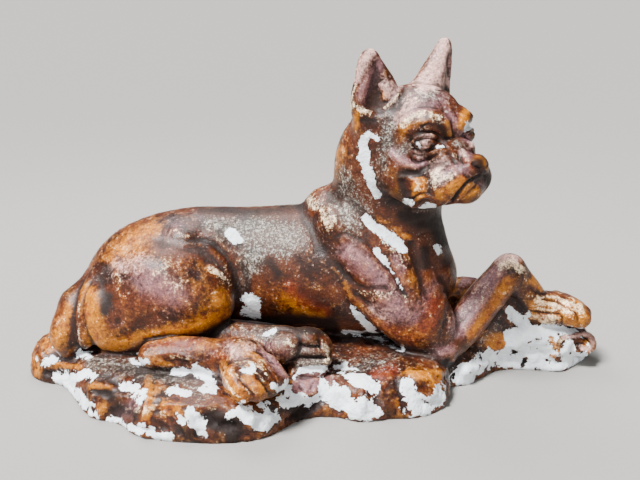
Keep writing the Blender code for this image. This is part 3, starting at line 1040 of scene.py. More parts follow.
BODY_STROKES = (
    Stroke("neck trench", ((366, 216), (380, 230), (394, 243), (405, 251)), 5.0, 1.2),
    Stroke("neck ridge", ((377, 218), (390, 226), (402, 233), (411, 239)), 6.0, -1.2),
    Stroke("throat hollow", ((404, 214), (416, 222), (424, 236)), 12.0, 1.2),
    Stroke("nape hollow", ((333, 190), (340, 206), (348, 222)), 8.0, 1.2),
    Stroke("scapula", ((316, 196), (326, 214), (332, 232)), 12.0, -2.0),
    Stroke("behind the scapula", ((302, 200), (306, 216), (314, 236), (322, 256)), 9.0, 1.1),
    Stroke("arm top", ((334, 240), (343, 233), (355, 237), (366, 243)), 5.0, 1.2),
    Stroke("arm groove", ((365, 242), (374, 250), (384, 264), (392, 272), (398, 284),
        (405, 294)), 3.6, 2.4),
    Stroke("arm lip", ((362, 247), (371, 254), (380, 267), (388, 276), (394, 288)), 5.0, -1.4),
    Stroke("triceps edge", ((334, 258), (345, 274), (359, 286), (374, 289), (391, 286)), 5.0, 1.4),
    Stroke("triceps", ((346, 250), (362, 264), (378, 278)), 13.0, -2.0),
    Stroke("forearm root", ((372, 300), (392, 305), (412, 318)), 13.0, -1.6),
    Stroke("arm rim", ((343, 278), (350, 295), (364, 309), (378, 323), (392, 336)), 6.0, -1.4),
    Stroke("over the arm rim", ((352, 290), (366, 302), (382, 314)), 4.0, 0.8),
    Stroke("breast groove", ((411, 240), (415, 254), (419, 270), (424, 288), (430, 303)), 8.0, 1.8),
    Stroke("breast swell", ((444, 268), (448, 280), (446, 292)), 10.0, -1.6),
    Stroke("fore muscle", ((398, 256), (406, 272), (413, 290)), 10.0, -1.2),
    Stroke("elbow crease", ((438, 342), (444, 328), (449, 312), (454, 297)), 6.0, 1.5),
    Stroke("flank hollow", ((240, 262), (247, 282), (246, 302)), 10.0, 1.6),
    Stroke("hip", ((170, 234), (180, 233), (189, 237)), 9.0, -0.9),
    Stroke("hip nick", ((186, 243), (196, 240), (203, 232)), 6.0, 0.4),
    Stroke("haunch crest", ((180, 247), (196, 244), (212, 251), (224, 266), (231, 284),
        (231, 302)), 4.0, -1.2),
    Stroke("haunch valley", ((190, 240), (206, 241), (219, 249), (231, 264), (238, 284),
        (239, 304)), 4.5, 1.6),
    Stroke("thigh hollow", ((104, 268), (108, 294), (117, 320)), 13.0, 1.8, blunt=True),
    Stroke("hamstring", ((92, 278), (93, 304), (98, 328)), 10.0, -0.8),
    Stroke("thigh", ((146, 262), (170, 280), (188, 300)), 24.0, -2.2, blunt=True),
    Stroke("haunch rim", ((98, 342), (118, 347), (140, 339), (160, 333), (190, 331),
        (215, 322)), 7.0, -1.0),
    Stroke("over the haunch rim", ((128, 326), (158, 319), (192, 316)), 12.0, 0.8),
    Stroke("hock edge", ((145, 357), (160, 355), (175, 354), (188, 358), (204, 363),
        (217, 362)), 3.0, -1.2),
    Stroke("hock groove", ((166, 361), (178, 361), (190, 363)), 3.6, 1.6),
    Stroke("hock end", ((140, 352), (146, 360), (154, 364)), 6.0, -1.0),
    Stroke("hock dent", ((160, 340), (176, 344), (192, 345)), 5.0, 0.9),
    Stroke("shin swell", ((206, 345), (220, 346)), 7.0, -1.0),
    Stroke("paw fold", ((216, 364), (219, 376), (224, 388)), 3.5, 1.0),
    Stroke("paw knuckles", ((226, 372), (236, 366), (248, 364), (260, 367), (269, 374)), 5.0, -1.2),
    Stroke("paw side", ((246, 344), (258, 351), (268, 360), (281, 374)), 4.0, 0.9),
    Stroke("toe line one", ((221, 368), (227, 376), (232, 386), (240, 396)), 2.4, 1.2),
    Stroke("toe line two", ((238, 377), (244, 384), (251, 391), (256, 398)), 2.4, 1.2),
    Stroke("toe line three", ((255, 374), (261, 381), (266, 388), (270, 396)), 2.4, 1.2),
    Stroke("toe line four", ((265, 365), (273, 376), (280, 386), (282, 393)), 2.6, 1.0),
    Stroke("sole edge", ((264, 340), (269, 333), (279, 329), (291, 331), (299, 338), (301, 347)), 3.0, 1.8),
    Stroke("sole foot", ((265, 352), (273, 361), (286, 364), (297, 358)), 3.0, 1.8),
    Stroke("sole pad", ((277, 346), (288, 347)), 12.0, -1.6, blunt=True),
    Stroke("sole line one", ((298, 345), (308, 346.5), (322, 346)), 2.6, 1.3),
    Stroke("sole line two", ((298, 357), (312, 357), (331, 358)), 2.6, 1.7),
    Stroke("sole line three", ((296, 367), (310, 368.5), (327, 369)), 2.6, 0.8),
    Stroke("toe pad one", ((301, 339), (310, 340), (318, 341)), 4.5, -1.3),
    Stroke("toe pad two", ((301, 352), (310, 352), (318, 352)), 4.5, -1.3),
    Stroke("toe pad three", ((300, 362), (310, 363), (318, 364)), 4.0, -0.9),
    Stroke("toe pad edge", ((317, 336), (321, 348), (322, 362)), 2.6, 1.0),
    Stroke("knee cap", ((503, 270), (509, 265.5), (516, 264.6), (522, 269)), 3.5, -1.3),
    Stroke("under the cap", ((506, 275), (513, 271), (520, 273)), 3.0, 0.9),
    Stroke("forearm ridge", ((506, 264), (499, 274), (491, 290), (481, 305), (470, 320),
        (462, 332)), 4.5, -2.2),
    Stroke("forearm plane", ((510, 278), (500, 293), (489, 309), (477, 326)), 5.0, 0.9),
    Stroke("forearm left plane", ((494, 268), (482, 286), (472, 304), (464, 324)), 8.0, 0.8),
    Stroke("under the pastern", ((526, 286), (533, 290), (540, 293), (547, 294)), 2.8, 1.8),
    Stroke("pastern dent", ((526, 274), (533, 281), (540, 288)), 3.0, 0.8),
    Stroke("paw line one", ((541, 299), (554, 300.5), (564, 305), (570, 309), (577, 314),
        (578, 322)), 2.6, 1.7),
    Stroke("paw line two", ((529, 311), (545, 313), (558, 314), (562, 318), (561, 326)), 2.6, 1.7),
    Stroke("second toe", ((530, 304), (545, 303.5), (556, 306), (563, 309)), 3.4, -1.1),
    Stroke("second knuckle", ((567, 314), (571, 317), (573, 321)), 6.0, -1.8),
    Stroke("first knuckle", ((577, 303), (583, 311), (586, 321)), 5.0, -1.4),
    Stroke("third toe", ((538, 319), (548, 320), (556, 322)), 7.0, -1.4),
    Stroke("claw line", ((582, 306), (588, 316), (589, 324)), 2.2, 0.9),
    Stroke("curl", ((566, 338), (578, 335), (588, 335), (593, 341), (592, 349), (586, 352)), 3.2, -1.8),
    Stroke("curl hollow", ((577, 346), (582, 343), (587, 345)), 3.6, 2.4),
    Stroke("under the curl", ((570, 352), (578, 356), (586, 354)), 3.6, 1.4),
)

ROCK_STROKES = (
    Stroke("left lip", ((36, 352), (50, 362), (66, 366), (84, 368)), 5.0, -1.8),
    Stroke("under the left lip", ((42, 372), (56, 374), (70, 374)), 4.5, 1.6),
    Stroke("bay", ((100, 374), (112, 380), (126, 386)), 7.0, 2.2),
    Stroke("bar", ((90, 386), (101, 385), (112, 388)), 4.0, -2.6),
    Stroke("under the bar", ((92, 393), (102, 392.5), (113, 394)), 4.0, 2.4),
    Stroke("knob", ((124, 384), (132, 383)), 7.0, -2.0),
    Stroke("slab", ((112, 414), (124, 409), (138, 402)), 12.0, 3.4, blunt=True),
    Stroke("slab ridge", ((106, 400), (116, 396), (128, 398)), 4.0, -1.6),
    Stroke("fin", ((148, 380), (149, 394), (147, 408), (146, 424)), 5.0, -2.8, blunt=True),
    Stroke("behind the fin", ((160, 390), (168, 396), (180, 398)), 7.0, 1.6),
    Stroke("front edge", ((146, 409), (160, 406), (176, 405), (200, 407), (226, 408)), 4.0, -1.8),
    Stroke("front hollow", ((206, 418), (216, 424), (232, 427)), 10.0, 4.0, blunt=True),
    Stroke("front bay", ((156, 420), (166, 426), (176, 424)), 7.0, 1.8),
    Stroke("front rib", ((186, 410), (190, 424), (188, 436)), 6.0, -2.0),
    Stroke("flare", ((82, 404), (92, 418), (108, 423), (122, 425), (132, 433), (160, 440)), 5.0, -2.0),
    Stroke("mid rib", ((244, 402), (250, 416), (248, 430)), 8.0, -2.0),
    Stroke("undercut", ((290, 422), (304, 411), (320, 400)), 8.0, 4.0, blunt=True),
    Stroke("over the undercut", ((282, 406), (300, 398), (318, 390)), 5.0, -2.0),
    Stroke("right rim", ((300, 384), (322, 380), (342, 376), (360, 372)), 5.0, -1.6),
    Stroke("behind the right rim", ((300, 372), (322, 369), (350, 362)), 6.0, 1.2),
    Stroke("face pit", ((336, 396), (344, 404), (350, 400)), 7.0, 2.0),
    Stroke("face rib", ((360, 388), (364, 404), (358, 418)), 6.0, -2.0),
    Stroke("lump", ((380, 406), (394, 410)), 9.0, -2.2),
    Stroke("cleft", ((396, 380), (401, 396), (404, 414)), 4.5, 2.6),
    Stroke("block top", ((406, 372), (424, 375), (443, 372)), 4.5, -1.6),
    Stroke("block face", ((414, 394), (426, 404), (436, 400)), 9.0, 2.0),
    Stroke("block corner", ((444, 378), (446, 392), (443, 406)), 4.0, -1.8),
    Stroke("leg foot rib", ((462, 372), (474, 368), (488, 362)), 6.0, -2.0),
    Stroke("leg foot pit", ((468, 380), (480, 374), (494, 366)), 5.0, 2.0),
    Stroke("rock bay", ((498, 352), (506, 358), (514, 356)), 6.0, 2.4),
    Stroke("rock rib", ((508, 344), (524, 350), (536, 362)), 6.0, -2.0),
    Stroke("rock pit one", ((512, 353), (515, 348)), 3.0, 1.8),
    Stroke("rock pit two", ((536, 339), (539, 344)), 3.4, 1.8),
    Stroke("rock pit three", ((521, 364), (527, 360)), 4.0, 2.2),
    Stroke("rock shelf", ((546, 356), (556, 354), (568, 350)), 4.0, -1.8),
    Stroke("under the shelf", ((544, 364), (556, 364), (566, 360)), 5.0, 2.2),
    Stroke("rock top bay", ((512, 312), (518, 322), (528, 328)), 5.0, 1.8),
    Stroke("rock top rib", ((503, 304), (508, 314), (510, 326)), 4.0, -1.4),
)


@dataclass(frozen=True)
class Carver:
    """Puts the strokes on the skin."""

    view: PhotoView
    head: Head
    head_reach: float = 76.0
    head_blend: float = 6.0
    far_half: float = 0.4
    rock_top: Sequence[float] = (25.0, 31.0)
    foot: Sequence[float] = (0.2, 3.0)
    crag_height: float = 1.0
    crag_pitch: float = 30.0
    chip_height: float = 0.55
    chip_pitch: float = 13.0

    def work(self, skin: Skin) -> None:
        """Move the skin's points along their normals by the strokes.

        Args:
            skin: The skin, changed in place.
        """
        normal = skin.normals()
        pixel, _ = self.view.seen_at(skin.points)
        away = np.linalg.norm(skin.points - np.array(self.head.place), axis=1)
        on_head = 1.0 - smoothstep(away, self.head_reach - self.head_blend, self.head_reach)
        body = sum(stroke.lift(pixel) for stroke in BODY_STROKES + ROCK_STROKES)
        crown = sum(stroke.lift(pixel) for stroke in CROWN_STROKES)
        lift = (body * (1.0 - on_head) + crown * on_head) * self.view.shown(skin, normal)
        lift += self.on_face(skin.points, normal) * on_head
        lift += self.roughness(skin.points)
        lift *= smoothstep(skin.points[:, 2], *self.foot)
        skin.points = skin.points + lift[:, None] * normal

    def on_face(self, points: np.ndarray, normal: np.ndarray) -> np.ndarray:
        """Height of the face's strokes.

        Each point takes the strokes of its mirror image on the near half of
        the face, so that both halves are carved, the far one less deeply.

        Args:
            points: Points in cells.
            normal: Their normals.

        Returns:
            The height at each point, in cells.
        """
        axes, place = self.head.axes(), np.array(self.head.place)
        local, local_normal = (points - place) @ axes, normal @ axes
        far = local[:, 1] > 0
        for rows in (local, local_normal):
            rows[far, 1] *= -1.0
        folded = local @ axes.T + place
        pixel, _ = self.view.seen_at(folded)
        facing = self.view.facing(folded, local_normal @ axes.T)
        return sum(stroke.lift(pixel) for stroke in FACE_STROKES) * facing * np.where(far, self.far_half, 1.0)

    def roughness(self, points: np.ndarray) -> np.ndarray:
        """Height of the unevenness everywhere.

        The rock gets crags and chips, sharp-crested waves 1 - 2 |ripple|,
        which fade out on the dog, and the dog a slight ripple.

        Args:
            points: Points in cells.

        Returns:
            The height at each point, in cells.
        """
        rock = 1.0 - smoothstep(points[:, 2], *self.rock_top)
        crag = 1.0 - 2.0 * np.abs(ripple(points, self.crag_pitch, 8.0))
        chip = 1.0 - 2.0 * np.abs(ripple(points, self.chip_pitch, 9.0))
        slight = 0.08 * ripple(points, 9.0, 3.0) + 0.2 * ripple(points, 30.0, 4.0)
        return rock * (self.crag_height * crag + self.chip_height * chip) + (1.0 - rock) * slight


# Coats of colour


class Coat(Enum):
    """The coats that are painted on, each a number at every point."""

    # painted sheen: a mauve reflection of the sky on the varnish and on lit planes
    MAUVE = "mauve"
    RED = "red"
    AMBER = "amber"
    DUST = "dust"
    # rose tint together with painted highlights on the knee cap, nose, hip and breast
    PINK = "pink"
    # dark stain together with painted shade under the legs, chin and belly and in creases and pits
    DARK = "dark"
    # worn cream edges together with painted highlights on the brow, knee cap and crests
    CREAM = "cream"
    FLAKE = "flake"
    ROCK = "rock"
    # how hollow each point is; it drives the painted shade in creases
    HOLLOW = "hollow"


@dataclass(frozen=True)
class Touch:
    """A soft brush stroke on the photo's view: places with radii in pixels."""

    line: Rows
    strength: float

    def amount(self, pixel: np.ndarray) -> np.ndarray:
        """How much colour is laid: strength exp(-(d / r)^2).

        d is the distance to the line and r its radius there.

        Args:
            pixel: Places on the photo's view.

        Returns:
            The amount at each place.
        """
        best = np.zeros(len(pixel))
        for far, radius in along_trail(pixel, self.line):
            best = np.maximum(best, np.exp(-((far / radius) ** 2)))
        return self.strength * best


@dataclass(frozen=True)
class Flake:
    """A place where the stain has come off: a line of places and radii in pixels."""

    line: Rows

    def depth(self, pixel: np.ndarray) -> np.ndarray:
        """How far inside the flake each place is: the radius less the distance.

        Args:
            pixel: Places on the photo's view.

        Returns:
            The depth in pixels, negative outside.
        """
        best = np.full(len(pixel), -FAR)
        for far, radius in along_trail(pixel, self.line):
            best = np.maximum(best, radius - far)
        return best


# Flakes by name
FLAKES = {
    "flank spot": ((231, 234, 6), (235, 238, 5), (240, 240, 3)),
    "below the ribs": ((246, 298, 5), (254, 304, 6), (256, 314, 5), (243, 311, 4)),
    "cheek strip": ((368, 133, 3), (364, 142, 4), (364, 155, 5), (366, 168, 5), (371, 182, 4),
        (378, 195, 3)),
    "cheek prong": ((371, 134, 2), (377, 139, 2.5)),
    "neck strip": ((365, 218, 4), (374, 226, 5), (384, 234, 6), (394, 242, 6), (404, 249, 4)),
    "shoulder strip": ((376, 250, 2.5), (382, 257, 3.5), (388, 265, 2.5)),
    "shoulder crack": ((388, 266, 1.2), (396, 278, 1.0), (404, 290, 0.8)),
    "breast spot": ((437, 248, 3.5), (438, 252, 2.5)),
    "behind the elbow": ((352, 308, 2.5), (360, 318, 3.5), (370, 328, 4), (382, 339, 3)),
    "under the ribs": ((344, 331, 2), (356, 333, 3), (369, 335, 2)),
    "by the elbow": ((392, 347, 1.8), (404, 349, 2.2)),
    "jaw": ((404, 202, 3), (410, 204, 3)),
    "under the flew": ((420, 208, 2), (427, 206, 3), (433, 206, 2)),
    # painted highlights: white glints on the eyeball and at its corner, drawn as flakes
    "eye": ((418, 144, 1.6), (420, 147, 1.2)),
    "eye corner": ((438, 147, 1.4), (442, 147, 1.4)),
    "far brow": ((467, 122, 2.2), (468, 127, 2.6), (466, 129, 1.6)),
    "sole": ((266, 333, 3.4), (273, 330, 3)),
    "under the toes": ((300, 371, 4), (312, 371, 5), (325, 369, 3)),
    "hind knuckle": ((244, 370, 3), (250, 372, 4), (253, 366, 2)),
    "hind toes": ((273, 385, 3), (280, 390, 4), (290, 382, 3), (286, 396, 3)),
    "below the hock": ((174, 372, 3), (186, 372, 4), (198, 374, 3)),
    "below the leg": ((196, 366, 3), (206, 376, 6), (213, 388, 5), (200, 390, 3)),
    "rump foot": ((79, 355, 4), (88, 356, 4)),
    "rear lip": ((38, 360, 3), (46, 362, 5), (52, 360, 3)),
    "haunch foot": ((133, 360, 3), (140, 362, 4), (147, 362, 3)),
    "rear rim": ((56, 377, 4), (66, 380, 6), (78, 377, 6), (92, 374, 3)),
    "rear side": ((70, 388, 6), (76, 397, 7), (84, 405, 5), (92, 414, 4), (104, 420, 3)),
    "rear foot": ((100, 419, 3), (112, 421, 4), (126, 422, 3)),
    "foot one": ((122, 425, 3), (138, 428, 6), (156, 434, 6), (170, 438, 3)),
    "face one": ((124, 385, 4), (134, 387, 6), (143, 393, 5), (140, 401, 3)),
    "face two": ((171, 390, 3), (180, 391, 4), (188, 394, 3)),
    "face three": ((188, 411, 5), (192, 416, 7), (200, 424, 8), (206, 434, 5), (182, 420, 4)),
    "face four": ((229, 412, 5), (240, 410, 7), (252, 418, 8), (266, 425, 8), (274, 418, 6), (262, 406, 4)),
    "face five": ((277, 398, 3), (286, 402, 6), (300, 399, 6), (314, 399, 5), (320, 393, 2)),
    "face six": ((323, 386, 4), (330, 394, 11), (348, 404, 12), (366, 410, 10), (380, 412, 5)),
    "top one": ((334, 366, 3), (344, 368, 5), (350, 368, 3)),
    "top two": ((349, 377, 4), (360, 380, 7), (372, 385, 6), (378, 388, 3)),
    "block face": ((404, 380, 4), (411, 390, 7), (412, 406, 9), (424, 410, 8), (436, 400, 8), (440, 388, 5)),
    "leg foot": ((456, 378, 5), (468, 370, 8), (480, 364, 8), (492, 360, 5)),
    "leg foot low": ((460, 382, 3), (470, 382, 4)),
    "rock join": ((492, 358, 7), (504, 356, 10), (512, 362, 9), (530, 366, 8)),
    "rock face": ((506, 348, 8), (520, 350, 14), (536, 352, 15), (552, 360, 12), (572, 362, 9),
        (582, 356, 6), (590, 350, 4)),
    "rock top": ((510, 334, 6), (524, 333, 8), (542, 331, 7), (552, 336, 4)),
    "beside the curl": ((566, 342, 3), (572, 352, 4), (584, 351, 3)),
    "under the pastern": ((508, 307, 2.5), (510, 311, 5), (516, 319, 6), (524, 324, 5), (529, 313, 3)),
    "under the paw": ((545, 328, 3), (556, 330, 4.5), (570, 331, 4), (586, 332, 3)),
}

# Stain that is left inside them
ISLANDS = {
    "pastern foot": ((492, 341, 5), (501, 341, 5.5)),
    "beside the curl": ((552, 338, 3), (556, 345, 4.6), (560, 350, 2.4)),
    "below the curl": ((549, 357, 1.8), (557, 359, 2.6)),
    "curl": ((564, 337, 2), (578, 335, 2.4), (588, 334, 3), (593, 341, 2.6), (591, 348, 2.4),
        (583, 348, 2), (578, 352, 1.6)),
    "pit one": ((513, 349, 1.2), (515, 354, 1.2)),
    "pit two": ((521, 365, 2.4), (526, 361, 2.4)),
    "pit three": ((530, 342, 1.6), (532, 343, 1.4)),
}

# Each coat's touches: the strength, then the places with their radii
TOUCHES = {
    Coat.AMBER: (
        (0.45, (94, 300, 7), (98, 330, 8)), (0.2, (150, 244, 9), (128, 256, 10)),
        (0.35, (170, 324, 7), (198, 318, 7), (216, 300, 6)), (0.5, (340, 150, 6), (333, 178, 7)),
        (1, (92, 335, 8), (104, 348, 9), (125, 342, 7), (150, 334, 6), (185, 331, 6), (215, 320, 6)),
        (0.9, (88, 290, 7), (90, 315, 8)), (0.8, (50, 345, 8), (62, 330, 7), (70, 305, 5)),
        (0.7, (112, 262, 10), (135, 240, 12), (155, 228, 8)), (0.8, (222, 296, 6), (224, 312, 6)),
        (0.4, (206, 262, 8)), (0.3, (198, 285, 8)), (0.6, (150, 362, 6), (170, 364, 5)),
        (0.4, (200, 348, 6), (212, 344, 5)), (0.9, (226, 372, 8), (232, 386, 7), (240, 394, 6)),
        (0.7, (248, 380, 8), (262, 390, 6)), (0.5, (244, 350, 8), (258, 358, 8)),
        (1, (150, 388, 5), (149, 400, 6), (147, 416, 6)), (0.9, (165, 407, 6), (176, 410, 7)),
        (0.6, (150, 378, 6), (165, 392, 5)), (0.9, (92, 386, 3), (110, 388, 3)),
        (0.8, (36, 360, 4), (38, 374, 4)), (0.6, (56, 364, 4), (80, 367, 3)),
        (0.7, (103, 408, 5), (108, 414, 5)), (0.9, (408, 372, 4), (424, 375, 5), (440, 374, 4)),
        (0.8, (436, 384, 5)), (0.5, (395, 412, 8), (400, 402, 5)),
        (0.5, (285, 300, 10), (300, 310, 8), (322, 316, 6)), (0.4, (508, 262, 6), (518, 262, 5)),
        (0.2, (336, 266, 5), (348, 292, 6), (364, 308, 6), (380, 322, 6), (396, 332, 6), (420, 330, 8)),
        (0.6, (378, 219, 4), (392, 227, 5), (408, 238, 5)), (0.35, (418, 282, 9), (412, 274, 6)),
        (0.8, (509, 279, 5), (496, 299, 5.5), (483, 317, 5), (471, 333, 5)),
        (1.2, (530, 318, 6), (544, 319, 7)), (0.8, (548, 300, 6), (570, 308, 8)),
        (0.9, (552, 340, 5), (556, 350, 6), (552, 358, 4)), (1, (492, 341, 6), (501, 341, 6)),
        (1, (584, 343, 2.5)), (0.8, (533, 280, 4), (541, 288, 4)),
        (1.2, (535, 306, 6), (550, 306, 5), (562, 318, 6), (572, 322, 5)),
        (1.3, (577, 305, 6), (584, 318, 6)), (0.9, (590, 340, 4), (590, 350, 4)), (1.1, (497, 342, 8)),
        (1.4, (440, 196, 5), (450, 189, 5), (462, 179, 4)), (1.5, (419, 183, 7), (418, 191, 7)),
        (1, (466, 196, 8), (474, 188, 6)), (0.6, (478, 158, 5), (486, 168, 4)),
        (0.8, (449, 124, 4), (450, 134, 4)), (0.6, (404, 128, 5), (400, 140, 6)),
        (1, (466, 112, 5), (461, 126, 5)), (0.35, (405, 126, 6), (418, 118, 6), (434, 116, 6)),
        (0.4, (398, 176, 5), (400, 186, 5)), (0.9, (356, 125, 5), (357, 112, 3)),
        (0.7, (381, 100, 6), (384, 94, 4)), (0.5, (395, 196, 6)),
    ),
    # Worn cream edges and painted highlights: the brow arch, knee cap, haunch crest and paw tops
    Coat.CREAM: (
        (0.6, (540, 300, 8), (560, 308, 10), (578, 312, 8)),
        (1.2, (233, 362, 1.2), (245, 360, 1.2), (258, 366, 1.2), (268, 376, 1.2)),
        (1.2, (228, 372, 1.2), (240, 366, 1.2), (254, 370, 1.2), (264, 382, 1.2)),
        (1.2, (222, 372, 1.4), (229, 388, 1.4), (238, 398, 1.2)),
        (1.1, (236, 374, 1.4), (246, 386, 1.4), (250, 394, 1.2)), (1.2, (300, 346, 1.4), (318, 347, 1.6)),
        (0.9, (322, 341, 3), (328, 350, 3.4), (327, 362, 3)), (1, (286, 341, 2), (294, 347, 1.6)),
        (1.1, (553, 309, 4), (563, 304, 4), (572, 310, 4)), (1.1, (530, 318, 5), (548, 320, 6)),
        (1.4, (553, 341, 4), (557, 348, 4), (552, 358, 3)), (0.7, (518, 331, 6), (540, 331, 6)),
        (1.2, (403, 125, 4), (412, 118, 5), (422, 114, 4)), (1.2, (430, 116, 4), (440, 118, 5)),
        (0.7, (420, 183, 7), (419, 191, 7)), (0.9, (206, 258, 7), (218, 268, 8), (228, 282, 4)),
        (0.3, (186, 318, 5), (196, 310, 5)), (0.4, (185, 236, 7), (170, 232, 6)),
        (0.7, (306, 196, 7), (318, 210, 9), (330, 224, 8)),
        (0.7, (357, 290, 4), (372, 293, 5), (390, 292, 6), (402, 296, 5)), (0.5, (352, 258, 5)),
        (0.5, (400, 330, 4), (410, 326, 4)), (0.6, (380, 242, 5), (396, 252, 5), (404, 266, 5)),
        (0.6, (418, 238, 5), (422, 234, 4)), (1.2, (502, 266, 5), (512, 264, 6), (521, 270, 5)),
        (1, (548, 299, 5), (566, 303, 6), (580, 308, 5)), (1, (540, 310, 6), (554, 320, 6)),
        (0.7, (540, 301, 4)), (1, (556, 338, 8), (560, 348, 6)), (0.9, (552, 359, 5)),
        (0.7, (232, 362, 4), (248, 358, 4), (262, 362, 4)), (0.6, (246, 390, 4), (256, 392, 4)),
        (0.9, (172, 360, 5), (186, 361, 4)),
        (0.9, (353, 104, 3), (360, 110, 4), (376, 111, 4), (390, 104, 3), (404, 88, 2)),
        (0.8, (455, 158, 6), (462, 154, 5)), (1, (436, 168, 9), (436, 180, 8), (450, 176, 6)),
        (0.5, (165, 270, 12), (178, 285, 10)), (0.4, (110, 285, 8), (125, 275, 8)),
        (1.1, (124, 406, 7), (146, 410, 7), (162, 412, 6)),
        (0.9, (355, 84, 1.6), (351, 100, 1.6), (350, 112, 2)), (0.6, (205, 408, 3), (226, 408, 3)),
        (0.8, (104, 387, 3)), (0.8, (79, 300, 1.5), (78, 330, 1.5), (80, 348, 2)),
    ),
    # Painted sheen: the sky's mauve reflection on lit, varnished planes
    Coat.MAUVE: (
        (1.2, (494, 274, 6), (484, 288, 9), (470, 308, 10), (457, 328, 9)),
        (1.2, (462, 280, 8), (470, 276, 6)), (0.5, (432, 285, 9), (426, 305, 9)),
        (0.9, (380, 62, 6), (371, 78, 8), (363, 96, 8)), (0.8, (450, 56, 4), (451, 76, 4)),
        (0.5, (395, 290, 16), (380, 310, 12)), (0.9, (296, 384, 8), (312, 386, 8)),
        (0.6, (270, 344, 8), (286, 350, 10)), (0.4, (302, 340, 6), (306, 352, 8), (306, 362, 6)),
        (0.8, (462, 134, 5), (471, 142, 4)), (0.9, (150, 280, 18), (175, 295, 16)),
        (1, (348, 252, 10), (362, 264, 12), (378, 278, 10)), (0.8, (398, 312, 12), (412, 318, 10)),
        (0.7, (396, 258, 6), (402, 268, 7)),
        (0.7, (505, 262, 8), (490, 285, 8), (474, 310, 8), (464, 330, 8)),
        (0.4, (150, 345, 7), (175, 343, 8), (200, 342, 7), (215, 352, 6)),
        (0.8, (262, 350, 6), (276, 364, 6), (286, 376, 5)), (0.5, (176, 228, 12)),
        (0.4, (200, 216, 10), (240, 215, 9)), (0.8, (420, 98, 14), (412, 110, 10), (440, 100, 10)),
        (1, (450, 116, 6), (456, 125, 5)), (1.2, (392, 152, 5), (402, 160, 5), (414, 165, 4), (424, 162, 4)),
        (0.8, (440, 178, 9), (455, 170, 8), (466, 170, 6)), (0.7, (480, 184, 5), (470, 190, 5)),
        (1, (467, 156, 5)), (0.6, (310, 376, 10), (330, 378, 8), (300, 388, 8)),
        (0.8, (125, 412, 10), (135, 405, 8)), (0.9, (436, 352, 8), (452, 350, 6)), (0.4, (60, 325, 8)),
    ),
    Coat.DUST: (
        (0.6, (484, 288, 7), (468, 308, 8), (453, 330, 8)),
        (0.9, (210, 222, 10), (240, 230, 16), (270, 232, 18), (298, 236, 14)),
        (0.9, (250, 258, 12), (262, 240, 14), (285, 250, 10)), (0.8, (242, 285, 8), (250, 270, 8)),
        (0.7, (340, 172, 10), (350, 190, 12), (360, 208, 12)), (0.9, (345, 215, 12), (352, 228, 10)),
        (0.6, (330, 200, 10)), (0.75, (390, 122, 9), (386, 150, 9), (382, 164, 7)), (0.3, (384, 180, 8)),
        (0.8, (404, 148, 8)), (0.5, (436, 172, 8), (428, 186, 5)),
        (0.5, (400, 100, 10), (420, 94, 12), (440, 98, 10)), (0.9, (455, 143, 6), (462, 147, 5)),
        (0.6, (425, 92, 10)), (0.6, (300, 365, 12), (350, 368, 14), (390, 362, 10)),
        (0.8, (170, 378, 12), (130, 366, 14), (90, 362, 10)), (0.8, (200, 392, 10), (190, 384, 8)),
        (0.6, (245, 330, 10), (280, 336, 14), (300, 345, 14), (310, 360, 14)), (0.5, (430, 354, 12)),
        (0.6, (500, 325, 6), (470, 350, 6)), (0.6, (455, 372, 8)),
    ),
    # Rose tint and painted highlights: the knee cap, nose top, hip bump, breast and lit ear planes
    Coat.PINK: (
        (0.45, (438, 172, 9), (440, 180, 8)), (0.45, (372, 310, 10), (390, 316, 8)),
        (0.2, (545, 303, 9), (565, 308, 10)), (0.9, (372, 52, 6), (364, 62, 7), (357, 80, 4)),
        (0.8, (386, 86, 8), (390, 98, 6), (396, 88, 6)),
        (1.5, (444, 44, 7), (440, 60, 8), (434, 74, 9), (424, 84, 8), (446, 82, 5)),
        (0.8, (400, 118, 8), (410, 104, 8)), (0.6, (436, 168, 8), (444, 160, 6)), (0.8, (462, 152, 5)),
        (0.7, (428, 136, 6), (420, 156, 6)), (0.9, (472, 144, 4)), (0.6, (236, 352, 9), (250, 348, 8)),
        (0.4, (226, 346, 8)), (0.6, (140, 262, 12), (118, 266, 12)), (0.3, (480, 286, 8), (466, 306, 8)),
        (1.3, (502, 257, 8), (514, 259, 7)),
        (1.1, (564, 337, 2.5), (578, 335, 3), (588, 334, 3), (593, 341, 3), (591, 348, 3), (583, 349, 2.5)),
    ),
    # Dark stain and painted shade: shadows under the hock, forearm, chin and belly, in the mouth, creases and
    # rock pits
    Coat.DARK: (
        (1, (298, 336, 1.8), (301, 346, 2), (296, 357, 2), (284, 363, 1.8)),
        (1, (299, 357, 1.5), (331, 358, 1.5)), (0.6, (304, 346, 1.2), (322, 346.5, 1.2)),
        (0.12, (225, 222, 18), (270, 226, 18)), (0.15, (404, 320, 12), (386, 330, 8)),
        (0.15, (330, 374, 12), (420, 366, 8)), (0.16, (212, 226, 16), (260, 232, 20), (292, 232, 14)),
        (0.15, (180, 372, 14), (120, 370, 14)), (0.18, (230, 345, 10), (245, 350, 8)),
        (0.4, (442, 290, 6), (438, 320, 8), (430, 338, 8)), (0.12, (352, 262, 16), (376, 290, 14)),
        (0.34, (160, 346, 10), (210, 346, 8)), (0.3, (364, 64, 8), (356, 90, 7)),
        (0.45, (302, 339.5, 3.5), (316, 340.5, 3.5)), (0.45, (302, 352, 3.5), (317, 352.5, 3.5)),
        (0.5, (298, 361, 3.5), (318, 363, 3)), (0.35, (276, 350, 11), (290, 350, 8)),
        (1.2, (513, 349, 2), (515, 354, 2)), (1.2, (521, 365, 3), (526, 361, 3)), (1.2, (530, 342, 2)),
        (0.6, (590, 316, 2), (586, 306, 2)), (0.7, (285, 404, 5), (300, 412, 8), (316, 404, 6)),
